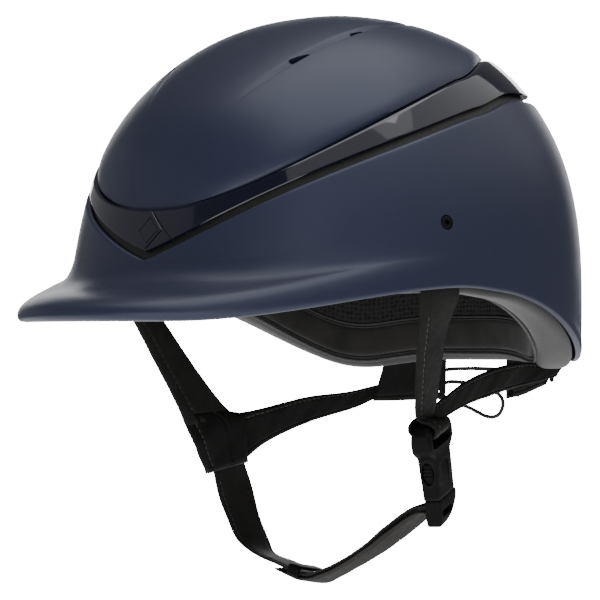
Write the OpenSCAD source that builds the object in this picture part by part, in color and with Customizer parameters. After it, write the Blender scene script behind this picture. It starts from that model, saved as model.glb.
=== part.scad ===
// Equestrian riding helmet with a wide peak, a gloss trim band and a four-point harness.
// Millimetres. Front is -Y, the wearer's left is +X, up is +Z.
// The origin is the middle of the head opening, level with the rim above the ears.

/* [Shell] */
// Half of the outer width at the widest level
half_w = 112; // [108:0.5:116]
// Distance from the crown axis to the forehead, at the widest level
front_len = 133; // [128:0.5:138]
// Distance from the crown axis to the back of the shell
rear_len = 117; // [112:0.5:122]
// Height of the crown above the ear rim
crown_h = 131; // [126:0.5:136]
// Wall of the lower shell
shell_wall = 2.5; // [2:0.1:3]
// How much further forward the brow stands than a plain dome
brow = 8; // [0:0.5:10]

/* [Rim and peak] */
// Reach of the peak past the shell at the front
peak_reach = 41; // [30:1:48]
// How far the peak widens the rim at the sides
peak_flare = 8; // [4:1:12]
// Drop of the peak's edge below the ear rim
peak_drop = 16; // [10:1:20]
// Drop of the nape rim below the ear rim
nape_drop = 36.5; // [30:0.5:42]
// Rise of the rim at the middle of the nape, as a share of that drop
nape_arch = 0.16; // [0:0.02:0.2]

/* [Trim band] */
// Height of the band's upper edge at the front
band_top_z = 35; // [32:1:38]
// Climb of the band's upper edge from front to back
band_climb = 74; // [70:1:76]
// Height of the point of the V below the badge
band_tip_z = 15; // [13:1:18]
// Height where the band's lower edge levels out at the back
band_back_z = 92; // [88:1:94]
// Open shadow gap under the band
band_gap = 3.6; // [2:0.2:5]
// Half width of the badge
badge_half_w = 8.6; // [6:0.2:9]
// Half height of the badge
badge_half_h = 8.4; // [6:0.2:9]

/* [Lining] */
// Depth of the foam's outer face below the shell surface
foam_outer = 6; // [5.9:0.1:6.4]
// Depth of the foam's inner face below the shell surface
foam_inner = 21; // [19:0.5:23]
// Thickness of the comfort padding
pad_wall = 3.4; // [2:0.2:5]

/* [Harness] */
// Thickness of a padded strap
strap_wall = 3; // [2:0.1:3.4]
// Thickness of a strap inside the shell
anchor_strap_wall = 2; // [1.6:0.1:2]
// Diameter of the lace
lace_d = 2; // [1.6:0.1:2.2]
// Shank diameter of the harness screws
screw_d = 4; // [3:0.1:4]
// Width of the buckle
buckle_w = 22; // [20:0.5:24]
// Thickness of the buckle
buckle_t = 8; // [7:0.5:9]

/* [Hidden] */

navy = [0.16, 0.18, 0.27];
gloss_navy = [0.05, 0.06, 0.12];
leather_black = [0.07, 0.07, 0.075];
plastic_black = [0.1, 0.1, 0.11];
woven_grey = [0.35, 0.35, 0.36];
steel = [0.6, 0.6, 0.62];

eps = 0.01;
step = 5;
angles = [for (a = [0 : step : 360 - step]) a];
corner = 2.3;
fullness = 0.9;
skirt_h = 220;
shoulder_z = 40;

// ---- Dome surface: angle 0 is the front, 90 the wearer's left, 180 the back ----

function spow(v, e) = sign(v) * pow(abs(v), e);
function away(a) = abs(a > 180 ? a - 360 : a);
function front_part(a) = pow(max(cos(a), 0), 2);
function rear_part(a) = pow(max(-cos(a), 0), 2);
function by_side(a, front, side, rear) =
    side + (front - side) * front_part(a) + (rear - side) * rear_part(a);
function equator(a) = by_side(a, 72, 16, 0);
function roundness(a) = by_side(a, 2.05, 2.9, 2.4);
function length_at(a) = cos(a) > 0 ? front_len : rear_len;

// Ease from 0 to 1 while an angle runs from a0 to a1
function ease(a, a0, a1) = (1 - cos(180 * max(0, min(1, (a - a0) / (a1 - a0))))) / 2;
// Smooth minimum of two heights
function soft_min(p, q, k) = -k * ln(exp(-p / k) + exp(-q / k));
function unit(v) = v / norm(v);

function rise_ratio(a, z, depth) = (z + equator(a)) / (crown_h - depth + equator(a));
function sine_at(a, z, depth) =
    let (t = rise_ratio(a, z, depth))
    t >= 0 ? pow(min(t, 1), roundness(a) / 2) : (z + equator(a)) / skirt_h;
function brow_at(a, z, depth) =
    brow * front_part(a) * exp(-pow((z - 75) / 35, 2))
    * (1 - pow(max(0, min(1, rise_ratio(a, z, depth))), 16));

// Point on the dome at an angle and a height, a given depth below the outer surface
function dome(a, z, depth = 0) =
    let (s = sine_at(a, z, depth), c = pow(sqrt(max(0, 1 - s * s)), fullness))
    [
        (half_w - depth) * c * spow(sin(a), 2 / corner),
        -(length_at(a) - depth) * c * spow(cos(a), 2 / corner) - brow_at(a, z, depth),
        z
    ];
function latitude(a, z, depth) = asin(sine_at(a, z, depth));
function height_at(a, lat, depth) =
    lat < 0 ? skirt_h * sin(lat) - equator(a)
    : (crown_h - depth + equator(a)) * pow(sin(lat), 2 / roundness(a)) - equator(a);
function pole(depth) = [0, 0, crown_h - depth];

// Outward direction of the dome at a point
function outward(a, z) =
    unit(cross(dome(a + 1, z) - dome(a - 1, z), dome(a, z + 1) - dome(a, z - 1)));

// Points up the wall from a low height to the shoulder, the shoulder left out
function wall_rows(a, z_low, depth, rows) =
    [for (k = [0 : rows - 1]) dome(a, z_low + (shoulder_z - z_low) * k / rows, depth)];
// Points from an edge towards the pole, the pole left out
function cap_rows(a, z_edge, depth, rows) =
    let (lat = latitude(a, z_edge, depth))
    [for (k = [0 : rows - 1]) dome(a, height_at(a, lat + (90 - lat) * k / rows, depth), depth)];
function reversed(list) = [for (k = [len(list) - 1 : -1 : 0]) list[k]];

// ---- Feature lines on the dome ----

function band_top(a) = band_top_z + band_climb * ease(away(a), 0, 124);
function band_bottom(a) = soft_min(band_tip_z + 0.75 * away(a), band_back_z, 3);
function shell_lip(a) = band_bottom(a) - band_gap;
function nape_part(a) = ease(away(a), 78, 149) * (1 - nape_arch * ease(away(a), 130, 172));
function peak_part(a) = 1 - ease(away(a), 22, 86);
function rim_z(a) = -1 - nape_drop * nape_part(a) - 5 * peak_part(a);
function edge_z(a) = -1 - nape_drop * nape_part(a) - peak_drop * peak_part(a);
function peak_reach_at(a) = pow(max(0, cos(min(90, away(a) * 90 / 82))), 1.3);

// ---- Solids from sections ----

function flat(list) = [for (row = list) each row];

// Closed ring: one closed section at each angle
module ring(sections) {
    n = len(sections);
    k = len(sections[0]);
    polyhedron(
        points = flat(sections),
        faces = [for (i = [0 : n - 1], j = [0 : k - 1])
            let (p = i * k + j, q = i * k + (j + 1) % k,
                 r = ((i + 1) % n) * k + (j + 1) % k, s = ((i + 1) % n) * k + j)
            each [[p, r, q], [p, s, r]]]
    );
}

// Open run of closed sections with an end face at each end
module run(sections) {
    n = len(sections);
    k = len(sections[0]);
    last = (n - 1) * k;
    polyhedron(
        points = flat(sections),
        faces = concat(
            [for (i = [0 : n - 2], j = [0 : k - 1])
                let (p = i * k + j, q = i * k + (j + 1) % k)
                each [[p, q + k, q], [p, p + k, q + k]]],
            [for (j = [1 : k - 2]) [0, j, j + 1]],
            [for (j = [1 : k - 2]) [last, last + j + 1, last + j]]
        )
    );
}

// Dome with a wall: each section runs from the outer pole, round the edge, to the inner pole
module domed(sections, top, underside) {
    n = len(sections);
    k = len(sections[0]);
    polyhedron(
        points = concat(flat(sections), [top, underside]),
        faces = concat(
            [for (i = [0 : n - 1], j = [0 : k - 2])
                let (p = i * k + j, s = ((i + 1) % n) * k + j)
                each [[p, s + 1, p + 1], [p, s, s + 1]]],
            [for (i = [0 : n - 1]) [n * k, ((i + 1) % n) * k, i * k]],
            [for (i = [0 : n - 1]) [n * k + 1, i * k + k - 1, ((i + 1) % n) * k + k - 1]]
        )
    );
}

// Flat strap between two edge lines
function heading(list, i) = unit(list[min(i + 1, len(list) - 1)] - list[max(i - 1, 0)]);
module strap(front, back, wall) {
    middle = (front + back) / 2;
    run([for (i = [0 : len(front) - 1])
        let (lift = unit(cross(back[i] - front[i], heading(middle, i))) * wall / 2)
        [front[i] - lift, front[i] + lift, back[i] + lift, back[i] - lift]]);
}

// Round cord along a route
module cord(route, d, sides = 8) {
    run([for (i = [0 : len(route) - 1])
        let (dir = heading(route, i), u = unit(cross(dir, [0.1, 1, 0.2])), v = cross(dir, u))
        [for (k = [0 : sides - 1])
            let (turn = k * 360 / sides)
            route[i] + (u * cos(turn) + v * sin(turn)) * d / 2]]);
}

module along(dir) {
    rotate([0, acos(dir.z), atan2(dir.y, dir.x)]) children();
}

// Cuts one solid from another and keeps the result as a plain mesh
module mesh_cut() {
    resize([0, 0, 0]) difference() {
        children(0);
        children(1);
    }
}

module both_sides() {
    children();
    mirror([1, 0, 0]) children();
}

// ---- Outer shell with the peak ----

// Section of the peak: share of its reach, and height above its lowest edge
peak_profile = [
    [0, 27], [0.03, 23.5], [0.08, 20.5], [0.16, 17.8], [0.32, 15.4], [0.58, 13.4],
    [0.8, 11], [0.94, 8], [1, 4.6], [0.985, 1.8], [0.93, 0.4], [0.84, 0]
];
lip_bevel = 0.9;

function peak_point(a, share, h) =
    let (reach = peak_reach_at(a) * share)
    dome(a, edge_z(a) + h)
    + [peak_flare * reach * spow(sin(a), 2 / corner), -peak_reach * reach * spow(cos(a), 2 / corner), 0];
function column(a, z_top, z_low, depth, rows) =
    [for (k = [0 : rows]) dome(a, z_top + (z_low - z_top) * k / rows, depth)];
function shell_section(a) =
    let (fillet_top = edge_z(a) + peak_profile[0][1])
    concat(
        [dome(a, shell_lip(a), lip_bevel)],
        [for (k = [0 : 4]) dome(a, shell_lip(a) - lip_bevel
            + (fillet_top + lip_bevel - shell_lip(a)) * k / 5)],
        [for (p = peak_profile) peak_point(a, p[0], p[1])],
        column(a, rim_z(a) + 0.4, shell_lip(a), shell_wall, 5)
    );

screw_angle = 77;
screw_z = 28;
screw_head_d = 6.2;
screw_head_h = 1.6;
module at_screw() {
    translate(dome(screw_angle, screw_z)) along(outward(screw_angle, screw_z)) children();
}
module screw_hole() {
    translate([0, 0, -10]) cylinder(d = screw_d + 0.6, h = 20, $fn = 16);
    translate([0, 0, -screw_head_h - 0.1]) cylinder(d = screw_head_d + 0.8, h = 5, $fn = 24);
}

module outer_shell() {
    color(navy) mesh_cut() {
        ring([for (a = angles) shell_section(a)]);
        both_sides() at_screw() screw_hole();
    }
}

// ---- Crown shell, its vents and their screens ----

crown_edge_depth = 0.5;
crown_top_depth = 0;
crown_wall = 2.8;
flange_depth = 3.2;
flange_wall = 2.1;
flange_lap = 4;
crown_rows = 9;
// Angle, height and length of each vent slot
vents = [[38, 105, 11], [62.5, 118.5, 9]];
vent_w = 3.4;
screen_wall = 0.8;
screen_lap = 2;
screen_depth = foam_outer + 0.6;
// Edge of the raised centre panel, which the slots follow: half width = panel_half_w - curve * (y - mid)^2
panel_half_w = 48.6;
panel_curve = 0.0053;
panel_mid_y = -35;

function crown_depth(k) = crown_edge_depth + (crown_top_depth - crown_edge_depth) * k / crown_rows;
function crown_edge_z(a) = band_top(a) + by_side(a, 0.5, 0.6, 3.2);
function dropped(p, z) = [p.x, p.y, z];
// The crown's foot stands just clear of the band
function crown_foot_z(a) = band_top(a) + 0.4;
function crown_face(a, lift) =
    let (z = crown_edge_z(a), lat = latitude(a, z, crown_edge_depth))
    [for (k = [0 : crown_rows - 1])
        let (depth = crown_depth(k) + lift)
        dome(a, height_at(a, lat + (90 - lat) * k / crown_rows, depth), depth)];
function crown_section(a) = concat(
    reversed(crown_face(a, 0)),
    [dropped(dome(a, crown_edge_z(a), crown_edge_depth), crown_foot_z(a)),
     dome(a, crown_foot_z(a), flange_depth)],
    column(a, band_top(a) - 3, shell_lip(a) - flange_lap, flange_depth, 2),
    column(a, shell_lip(a) - flange_lap, band_top(a) - 3, flange_depth + flange_wall, 4),
    crown_face(a, crown_wall)
);

// Places a box of the slot's length and width, grown by a lap, from one depth to another at each vent
module vent_blocks(lap, low, high) {
    both_sides() for (v = vents)
        let (p = dome(v[0], v[1]), n = outward(v[0], v[1]),
             groove = [-2 * panel_curve * (p.y - panel_mid_y), 1, 0],
             t = unit(groove - n * (groove * n)), b = cross(n, t))
        multmatrix([[t.x, b.x, n.x, p.x], [t.y, b.y, n.y, p.y], [t.z, b.z, n.z, p.z]])
        translate([-v[2] / 2 - lap, -vent_w / 2 - lap, -low])
        cube([v[2] + 2 * lap, vent_w + 2 * lap, low - high]);
}

module crown_shell() {
    color(navy) mesh_cut() {
        domed([for (a = angles) crown_section(a)],
            pole(crown_top_depth), pole(crown_top_depth + crown_wall));
        vent_blocks(0, foam_outer, -4);
    }
}

module vent_screens() {
    color(plastic_black) vent_blocks(screen_lap, screen_depth + screen_wall, screen_depth);
}

// ---- Trim band and badge ----

// The band stands proud of the shell towards the back
function band_depth(a) = by_side(a, 0.6, 0.2, -1);
band_inner = 2.6;
band_bevel = 0.6;
badge_wall = 1;
badge_proud = 0.5;
badge_z = 25;

function band_section(a) =
    let (top = band_top(a), low = band_bottom(a), face = band_depth(a))
    concat(
        column(a, top - band_bevel, low + band_bevel, face, 3),
        [dome(a, low, face + band_bevel)],
        column(a, low, top, band_inner, 4),
        [dome(a, top, face + band_bevel)]
    );

module badge_frame() {
    translate([0, dome(0, badge_z, band_depth(0)).y, badge_z])
        rotate([90 - atan2(dome(0, badge_z + 5).y - dome(0, badge_z - 5).y, 10), 0, 0]) children();
}

module rhombus(grow, h) {
    linear_extrude(h) polygon([
        [0, badge_half_h + grow], [badge_half_w + grow, 0],
        [0, -badge_half_h - grow], [-badge_half_w - grow, 0]
    ]);
}

module trim_band() {
    color(gloss_navy) mesh_cut() {
        ring([for (a = angles) band_section(a)]);
        badge_frame() translate([0, 0, -badge_wall]) rhombus(0.15, 6);
    }
}

module band_badge() {
    color(gloss_navy) badge_frame() difference() {
        translate([0, 0, -badge_wall + 0.1]) rhombus(-0.1, badge_wall + badge_proud - 0.1);
        translate([0, 0, badge_proud - 0.4]) rhombus(-1.5, 1);
    }
}

// ---- Foam liner and the soft lining ----

nut_flange_d = 13;
nut_flange_h = 1.2;
nut_face = foam_outer + 0.6;
nut_barrel_d = 6;
nut_depth = 13;
foam_wall_rows = 5;
foam_cap_rows = 10;

function foam_section(a) =
    let (z = rim_z(a) + 2.2)
    concat(
        reversed(concat(
            wall_rows(a, z, foam_outer, foam_wall_rows),
            cap_rows(a, shoulder_z, foam_outer, foam_cap_rows))),
        wall_rows(a, z, foam_inner, foam_wall_rows),
        cap_rows(a, shoulder_z, foam_inner, foam_cap_rows)
    );

module foam_liner() {
    color([0.13, 0.13, 0.14]) mesh_cut() {
        domed([for (a = angles) foam_section(a)], pole(foam_outer), pole(foam_inner));
        union() {
            both_sides() at_screw() {
                translate([0, 0, -nut_depth - 0.5]) cylinder(d = nut_barrel_d + 0.8, h = 10, $fn = 16);
                translate([0, 0, -nut_face - nut_flange_h - 0.2])
                    cylinder(d = nut_flange_d + 1, h = 5, $fn = 24);
            }
            vent_blocks(0, 30, 0);
            vent_blocks(screen_lap + 0.4, screen_depth + screen_wall + 0.3, 0);
        }
    }
}

// The cover steps back where a strap comes out of the shell
strap_notch = 4.3;
function cover_edge(a) = 4.2 + strap_notch * (ease(away(a), 58, 66) - ease(away(a), 86, 94));
function cover_section(a) =
    let (e = cover_edge(a), z = rim_z(a))
    [
        dome(a, z + 1.8, e), dome(a, z - 0.4, e), dome(a, z - 1.8, e + 1.5), dome(a, z - 2.3, e + 4.5),
        dome(a, z - 2.2, 15), dome(a, z - 0.8, 19), dome(a, z + 1.8, foam_inner)
    ];

module rim_cover() {
    color(woven_grey) ring([for (a = angles) cover_section(a)]);
}

lining_gap = 0.4;
lining_depth = foam_inner + lining_gap;
band_height = 15;
function headband_section(a) =
    let (z = rim_z(a) + 2.4, d = lining_depth, w = pad_wall)
    [
        dome(a, z, d), dome(a, z + band_height, d), dome(a, z + band_height - 1, d + w * 0.6),
        dome(a, z + band_height - 6, d + w), dome(a, z + 6, d + w), dome(a, z + 1, d + w * 0.6)
    ];

module headband() {
    color(plastic_black) run([for (a = [50 : step : 310]) headband_section(a)]);
}

brow_height = 15;
module brow_pad() {
    color(plastic_black) run([for (a = [-45 : step : 45])
        let (z = rim_z(a) + 2.4, d = lining_depth, w = pad_wall)
        [dome(a, z, d), dome(a, z + brow_height, d), dome(a, z + brow_height - 2, d + w * 0.7),
         dome(a, z + brow_height / 2, d + w), dome(a, z + 2, d + w * 0.7)]]);
}

liner_outer = foam_inner + 0.8;
liner_inner = liner_outer + 1.4;
liner_rows = 8;
module crown_liner() {
    color([0.05, 0.05, 0.05]) domed(
        [for (a = angles)
            let (z = rim_z(a) + band_height + 4)
            concat(
                reversed(cap_rows(a, z, liner_outer, liner_rows)),
                cap_rows(a, z, liner_inner, liner_rows)
            )],
        pole(liner_outer), pole(liner_inner));
}

// ---- Fasteners ----

module anchor_screws() {
    color(plastic_black) both_sides() at_screw() {
        difference() {
            translate([0, 0, -screw_head_h]) cylinder(d = screw_head_d, h = screw_head_h + 0.3, $fn = 32);
            translate([0, 0, -0.7]) cylinder(d = 2.6, h = 2, $fn = 6);
        }
        translate([0, 0, -nut_depth + 1])
            cylinder(d = screw_d, h = nut_depth - screw_head_h - 1 + eps, $fn = 24);
    }
}

module anchor_nuts() {
    color(steel) both_sides() at_screw() difference() {
        union() {
            translate([0, 0, -nut_face - nut_flange_h])
                cylinder(d = nut_flange_d, h = nut_flange_h, $fn = 32);
            translate([0, 0, -nut_depth])
                cylinder(d = nut_barrel_d, h = nut_depth - nut_face - eps, $fn = 24);
        }
        translate([0, 0, -nut_depth - 1]) cylinder(d = screw_d + 0.1, h = nut_depth, $fn = 24);
    }
}

// ---- Front straps ----

strap_depth = 4;
strap_top = [38, 28, 16, 5, 0];
inner_front = [for (z = strap_top) dome(71.5, z, strap_depth)];
inner_back = [for (z = strap_top) dome(82.5, z, strap_depth)];

left_front = concat(inner_front, [
    [102, -47.5, -6], [97, -42.5, -20], [91, -38, -34], [83.5, -31, -50], [79, -25.5, -61]]);
left_back = concat(inner_back, [
    [104.5, -25, -6], [95.5, -22.5, -20], [88.5, -18.5, -34], [79, -11.5, -50], [72.5, -7, -61]]);
right_front = concat(inner_front, [
    [102, -48.5, -6], [95, -45, -18], [86, -39, -38], [78.5, -34, -55], [76, -32.5, -61]]);
right_back = concat(inner_back, [
    [104, -26, -6], [95.5, -24, -18], [86.5, -14, -38], [79, -4, -55], [76, 0.5, -60.5]]);

module screwed_strap(front, back) {
    difference() {
        strap(front, back, anchor_strap_wall);
        at_screw() translate([0, 0, -10]) cylinder(d = screw_d + 0.8, h = 20, $fn = 24);
    }
}

module front_strap_left() {
    color(leather_black) screwed_strap(left_front, left_back);
}
module front_strap_right() {
    color(leather_black) mirror([1, 0, 0]) screwed_strap(right_front, right_back);
}

// ---- Junction of the straps below the right ear ----

patch_front = [[-75.9, -32.3, -61.4], [-71.8, -27.3, -76], [-70, -20.5, -90.5]];
patch_back = [[-75.9, 0.7, -60.9], [-71.5, 6.8, -64], [-70, 7, -85.5]];

module junction_patch() {
    color(leather_black) strap(patch_front, patch_back, strap_wall);
}

// ---- Rear straps and nape tabs ----

rear_left_top = [[72.6, -4, -53.5], [71, 14, -45.5], [66, 36, -40], [60.5, 64, -38], [61, 89.5, -39.5]];
rear_left_low = [
    [73.2, -1, -61.5], [70, 15, -56.5], [66, 36, -52.5], [59.5, 62, -48.5], [61, 84.5, -44.5]
];
rear_right_top = [
    [-72.5, 7.6, -62], [-70, 18, -60.5], [-66, 46, -55], [-62.5, 72, -51], [-61.8, 90, -48]
];
rear_right_low = [
    [-70.5, 7.6, -84.5], [-69.5, 22, -74], [-65.5, 48, -66], [-62, 74, -60.5], [-61.8, 88, -56.5]
];

module rear_strap_left() {
    color(leather_black) strap(rear_left_top, rear_left_low, strap_wall - 0.6);
}
module rear_strap_right() {
    color(leather_black) strap(rear_right_top, rear_right_low, strap_wall - 0.6);
}

tab_wall = 2.4;
tab_left_top = [[60, 91, -39.6], [48, 96.5, -38], [34, 100.5, -36.8], [21, 102.5, -36.4]];
tab_left_low = [[60, 86, -47.5], [48, 93.5, -50], [34, 98.5, -53], [21, 101, -54.5]];
tab_right_top = [[-60, 92, -39.6], [-48, 97, -38], [-34, 100.5, -36.8], [-21, 102.5, -36.4]];
tab_right_low = [[-60.5, 89, -56.5], [-48, 95, -56.2], [-34, 98.5, -55.5], [-21, 101, -55]];
eyelet_x = 26;
eyelet_levels = [-40, -45.5, -51];
eyelet_y = 101.6;
eyelet_bore = 3;

module at_eyelets() {
    for (z = eyelet_levels)
        translate([eyelet_x, eyelet_y, z]) rotate([-86, 0, 14]) children();
}
module nape_tab(top, low, side) {
    difference() {
        strap(top, low, tab_wall);
        mirror([side, 0, 0]) at_eyelets()
            translate([0, 0, -5]) cylinder(d = eyelet_bore + 1.2, h = 10, $fn = 24);
    }
}

module nape_tab_left() {
    color(leather_black) nape_tab(tab_left_top, tab_left_low, 0);
}
module nape_tab_right() {
    color(leather_black) nape_tab(tab_right_top, tab_right_low, 1);
}

module lace_eyelets() {
    color(plastic_black) both_sides() at_eyelets() difference() {
        union() {
            translate([0, 0, -1.4]) cylinder(d = eyelet_bore + 0.8, h = 4.2, $fn = 24);
            translate([0, 0, 2.3]) cylinder(d = 5.2, h = 0.7, $fn = 24);
        }
        translate([0, 0, -3]) cylinder(d = eyelet_bore, h = 8, $fn = 24);
    }
}

// Place of each rivet on the left tab, and its turn about Z
rivets = [[[42, 101.8, -43.4], 19.5], [[53, 98.2, -43.4], 26]];
module nape_rivets() {
    color(plastic_black) both_sides() for (r = rivets)
        translate(r[0]) rotate([-86, 0, r[1]]) cylinder(d = 5, h = 1, $fn = 24);
}

// Lace drawn to and fro behind the tabs, then a bow loop that hangs free
lace_route = [
    [-31, 106, -41], [-24, 106.5, -40], [-12, 107, -39.5], [0, 107.5, -39.5], [12, 107, -40],
    [22, 106.5, -40.5], [28, 106, -42], [31, 105.5, -45], [28, 106, -48], [20, 106.5, -49],
    [8, 107, -48.5], [-4, 107, -47.5], [-16, 107, -46.5], [-24, 106.5, -46.5], [-29, 106, -48.5],
    [-31, 105.5, -52], [-28, 105.5, -55]
];
loop_route = [
    [-27, 105.5, -56], [-22.5, 105.5, -57], [-16, 105, -57.5], [-9, 105, -59],
    [-2.5, 105.5, -61.5], [3, 106, -63.5], [9, 106, -63.5], [13.5, 105.5, -60.5], [15, 105, -56],
    [13, 104.5, -52.5], [7, 104.5, -51], [0.5, 104, -51.5], [-6, 103.5, -53], [-12.5, 103.5, -54],
    [-17.5, 103.8, -53.5]
];

module nape_lace() {
    color(plastic_black) cord(lace_route, lace_d);
}
module lace_loop() {
    color(plastic_black) cord(loop_route, lace_d);
}

// ---- Chin strap ----

chin_front = [
    [-70, -14, -92], [-65, -15.5, -102.5], [-57, -17, -113.5], [-46, -19, -121],
    [-33, -21.5, -126], [-14, -25.7, -130.4], [9, -30.9, -135.8]
];
chin_back = [
    [-70, 6.5, -86.2], [-63.5, 6, -98.5], [-55.5, 3, -112], [-43.5, -0.5, -121.8],
    [-33, -5.8, -128.5], [-14, -10, -132.9], [9, -15.2, -138.3]
];
end_front = [
    [10, -31, -135.9], [19, -30, -134.5], [30, -27, -129], [42, -22.5, -120], [52, -19, -111],
    [64.5, -15, -102.5]
];
end_back = [
    [10, -15.2, -138.4], [19, -14, -136.5], [31, -11, -130], [43, -6, -120.5], [53, -2, -111],
    [62.5, 0.5, -102]
];

module chin_strap() {
    color(leather_black) strap(chin_front, chin_back, strap_wall);
}
module chin_strap_buckle_end() {
    color(leather_black) strap(end_front, end_back, strap_wall);
}

// Slider that holds the spare strap: it runs on the straight stretch before the buckle end
slider_mid = (chin_front[6] + chin_back[6]) / 2;
slider_dir = unit(slider_mid - (chin_front[4] + chin_back[4]) / 2);
slider_across = unit(chin_back[6] - chin_front[6]);
slider_lift = cross(slider_across, slider_dir);
slider_len = 9;
slider_wall = 1.8;
slider_play = 0.5;
strap_span = norm(chin_back[6] - chin_front[6]);

module slider_frame(along_strap) {
    o = slider_mid + slider_dir * along_strap;
    multmatrix([
        [slider_dir.x, slider_across.x, slider_lift.x, o.x],
        [slider_dir.y, slider_across.y, slider_lift.y, o.y],
        [slider_dir.z, slider_across.z, slider_lift.z, o.z]]) children();
}

module strap_slider() {
    inner_w = strap_span + 2 * slider_play;
    inner_h = strap_wall + 2 * slider_play;
    color(plastic_black) slider_frame(-slider_len - 1) difference() {
        translate([0, -inner_w / 2 - slider_wall, -inner_h / 2 - slider_wall])
            cube([slider_len, inner_w + 2 * slider_wall, inner_h + 2 * slider_wall]);
        translate([-1, -inner_w / 2, -inner_h / 2]) cube([slider_len + 2, inner_w, inner_h]);
    }
}

// ---- Side-release buckle: x forward, y away from the face, z up along the strap ----

buckle_at = [70.5, -3, -97];
buckle_up = unit([2, -7, 26]);
buckle_fwd = unit(cross([0.927, 0.375, 0], buckle_up));
buckle_out = cross(buckle_up, buckle_fwd);
socket_len = 22;
socket_wall = 1.4;
loop_w = buckle_w + 6;
loop_len = 13;
loop_bar = 3.2;
cavity_w = buckle_w - 2 * socket_wall;
cavity_t = buckle_t - 2 * socket_wall;
plug_fit = 0.35;
prong_len = 17;
prong_w = 3.6;
prong_t = cavity_t - 2 * plug_fit;
prong_pin_d = 2.4;
prong_root_z = -1.5;
prong_x = cavity_w / 2 - plug_fit - prong_w / 2;
plug_len = 13;

module buckle_frame() {
    multmatrix([
        [buckle_fwd.x, buckle_out.x, buckle_up.x, buckle_at.x],
        [buckle_fwd.y, buckle_out.y, buckle_up.y, buckle_at.y],
        [buckle_fwd.z, buckle_out.z, buckle_up.z, buckle_at.z]]) children();
}

module slab(w, t, z0, z1, r = 1.6) {
    translate([0, 0, z0]) linear_extrude(z1 - z0) hull()
        for (x = [-w / 2 + r, w / 2 - r], y = [-t / 2 + r, t / 2 - r])
            translate([x, y]) circle(r, $fn = 16);
}

module buckle_socket() {
    color(plastic_black) buckle_frame() difference() {
        union() {
            slab(buckle_w, buckle_t, 0.2, socket_len);
            slab(loop_w, buckle_t - 1, socket_len - 0.1, socket_len + loop_len, 2.4);
        }
        slab(cavity_w, cavity_t, -1, socket_len - 2.5, 0.6);
        translate([0, 0, socket_len + loop_len / 2 - 1.2]) rotate([90, 0, 0]) translate([0, 0, -8])
            linear_extrude(16) square([buckle_w - 4, loop_len - 2 * loop_bar], center = true);
        for (s = [-1, 1]) translate([s * buckle_w / 2, 0, 9.5]) rotate([0, 90, 0])
            translate([0, 0, -4]) scale([1.9, 1, 1]) cylinder(d = cavity_t, h = 8, $fn = 24);
    }
}

module buckle_plug() {
    color(plastic_black) buckle_frame() difference() {
        union() {
            slab(buckle_w, buckle_t, -plug_len, -0.2);
            slab(6, prong_t, -1, socket_len - 4, 0.8);
        }
        translate([0, 0, -plug_len / 2 - 1.5]) rotate([90, 0, 0]) translate([0, 0, -8])
            linear_extrude(16) square([buckle_w - 5, 3.6], center = true);
        for (s = [-1, 1]) {
            translate([s * prong_x, 0, prong_root_z]) rotate([90, 0, 0])
                translate([0, 0, -8]) cylinder(d = prong_pin_d, h = 16, $fn = 24);
            translate([s * prong_x, 0, prong_root_z]) rotate([90, 0, 0])
                translate([0, 0, -prong_t / 2 - 0.2]) cylinder(r = 2.6, h = prong_t + 0.4, $fn = 24);
            translate([s * prong_x - 2.6, -prong_t / 2 - 0.2, prong_root_z]) cube([5.2, prong_t + 0.4, 5]);
        }
    }
}

module prong(s) {
    color(plastic_black) buckle_frame() translate([s * prong_x, 0, prong_root_z]) {
        rotate([90, 0, 0]) translate([0, 0, -buckle_t / 2 + 0.4])
            cylinder(d = prong_pin_d - 0.1, h = buckle_t - 0.8, $fn = 24);
        rotate([90, 0, 0]) translate([0, 0, -prong_t / 2]) cylinder(r = 2.2, h = prong_t, $fn = 24);
        translate([-1.2 + s * 0.5, -prong_t / 2, 0]) cube([2.4, prong_t, prong_len - 6]);
        translate([-prong_w / 2, -prong_t / 2, prong_len - 9]) cube([prong_w, prong_t, 7]);
    }
}

module buckle_prong_front() {
    prong(1);
}
module buckle_prong_rear() {
    prong(-1);
}

outer_shell();
crown_shell();
trim_band();
band_badge();
vent_screens();
foam_liner();
rim_cover();
headband();
brow_pad();
crown_liner();
anchor_screws();
anchor_nuts();
nape_rivets();
front_strap_left();
front_strap_right();
rear_strap_left();
rear_strap_right();
nape_tab_left();
nape_tab_right();
lace_eyelets();
nape_lace();
lace_loop();
junction_patch();
chin_strap();
chin_strap_buckle_end();
strap_slider();
buckle_socket();
buckle_plug();
buckle_prong_front();
buckle_prong_rear();
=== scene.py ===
"""Riding helmet: the looks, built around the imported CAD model.

Front is -Y, the wearer's left is +X, up is +Z. Shapes are worked out in millimetres and stored in metres.
Angles round the helmet are in degrees: 0 at the front, 90 on the wearer's left, 180 at the back.
"""
import math

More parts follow.
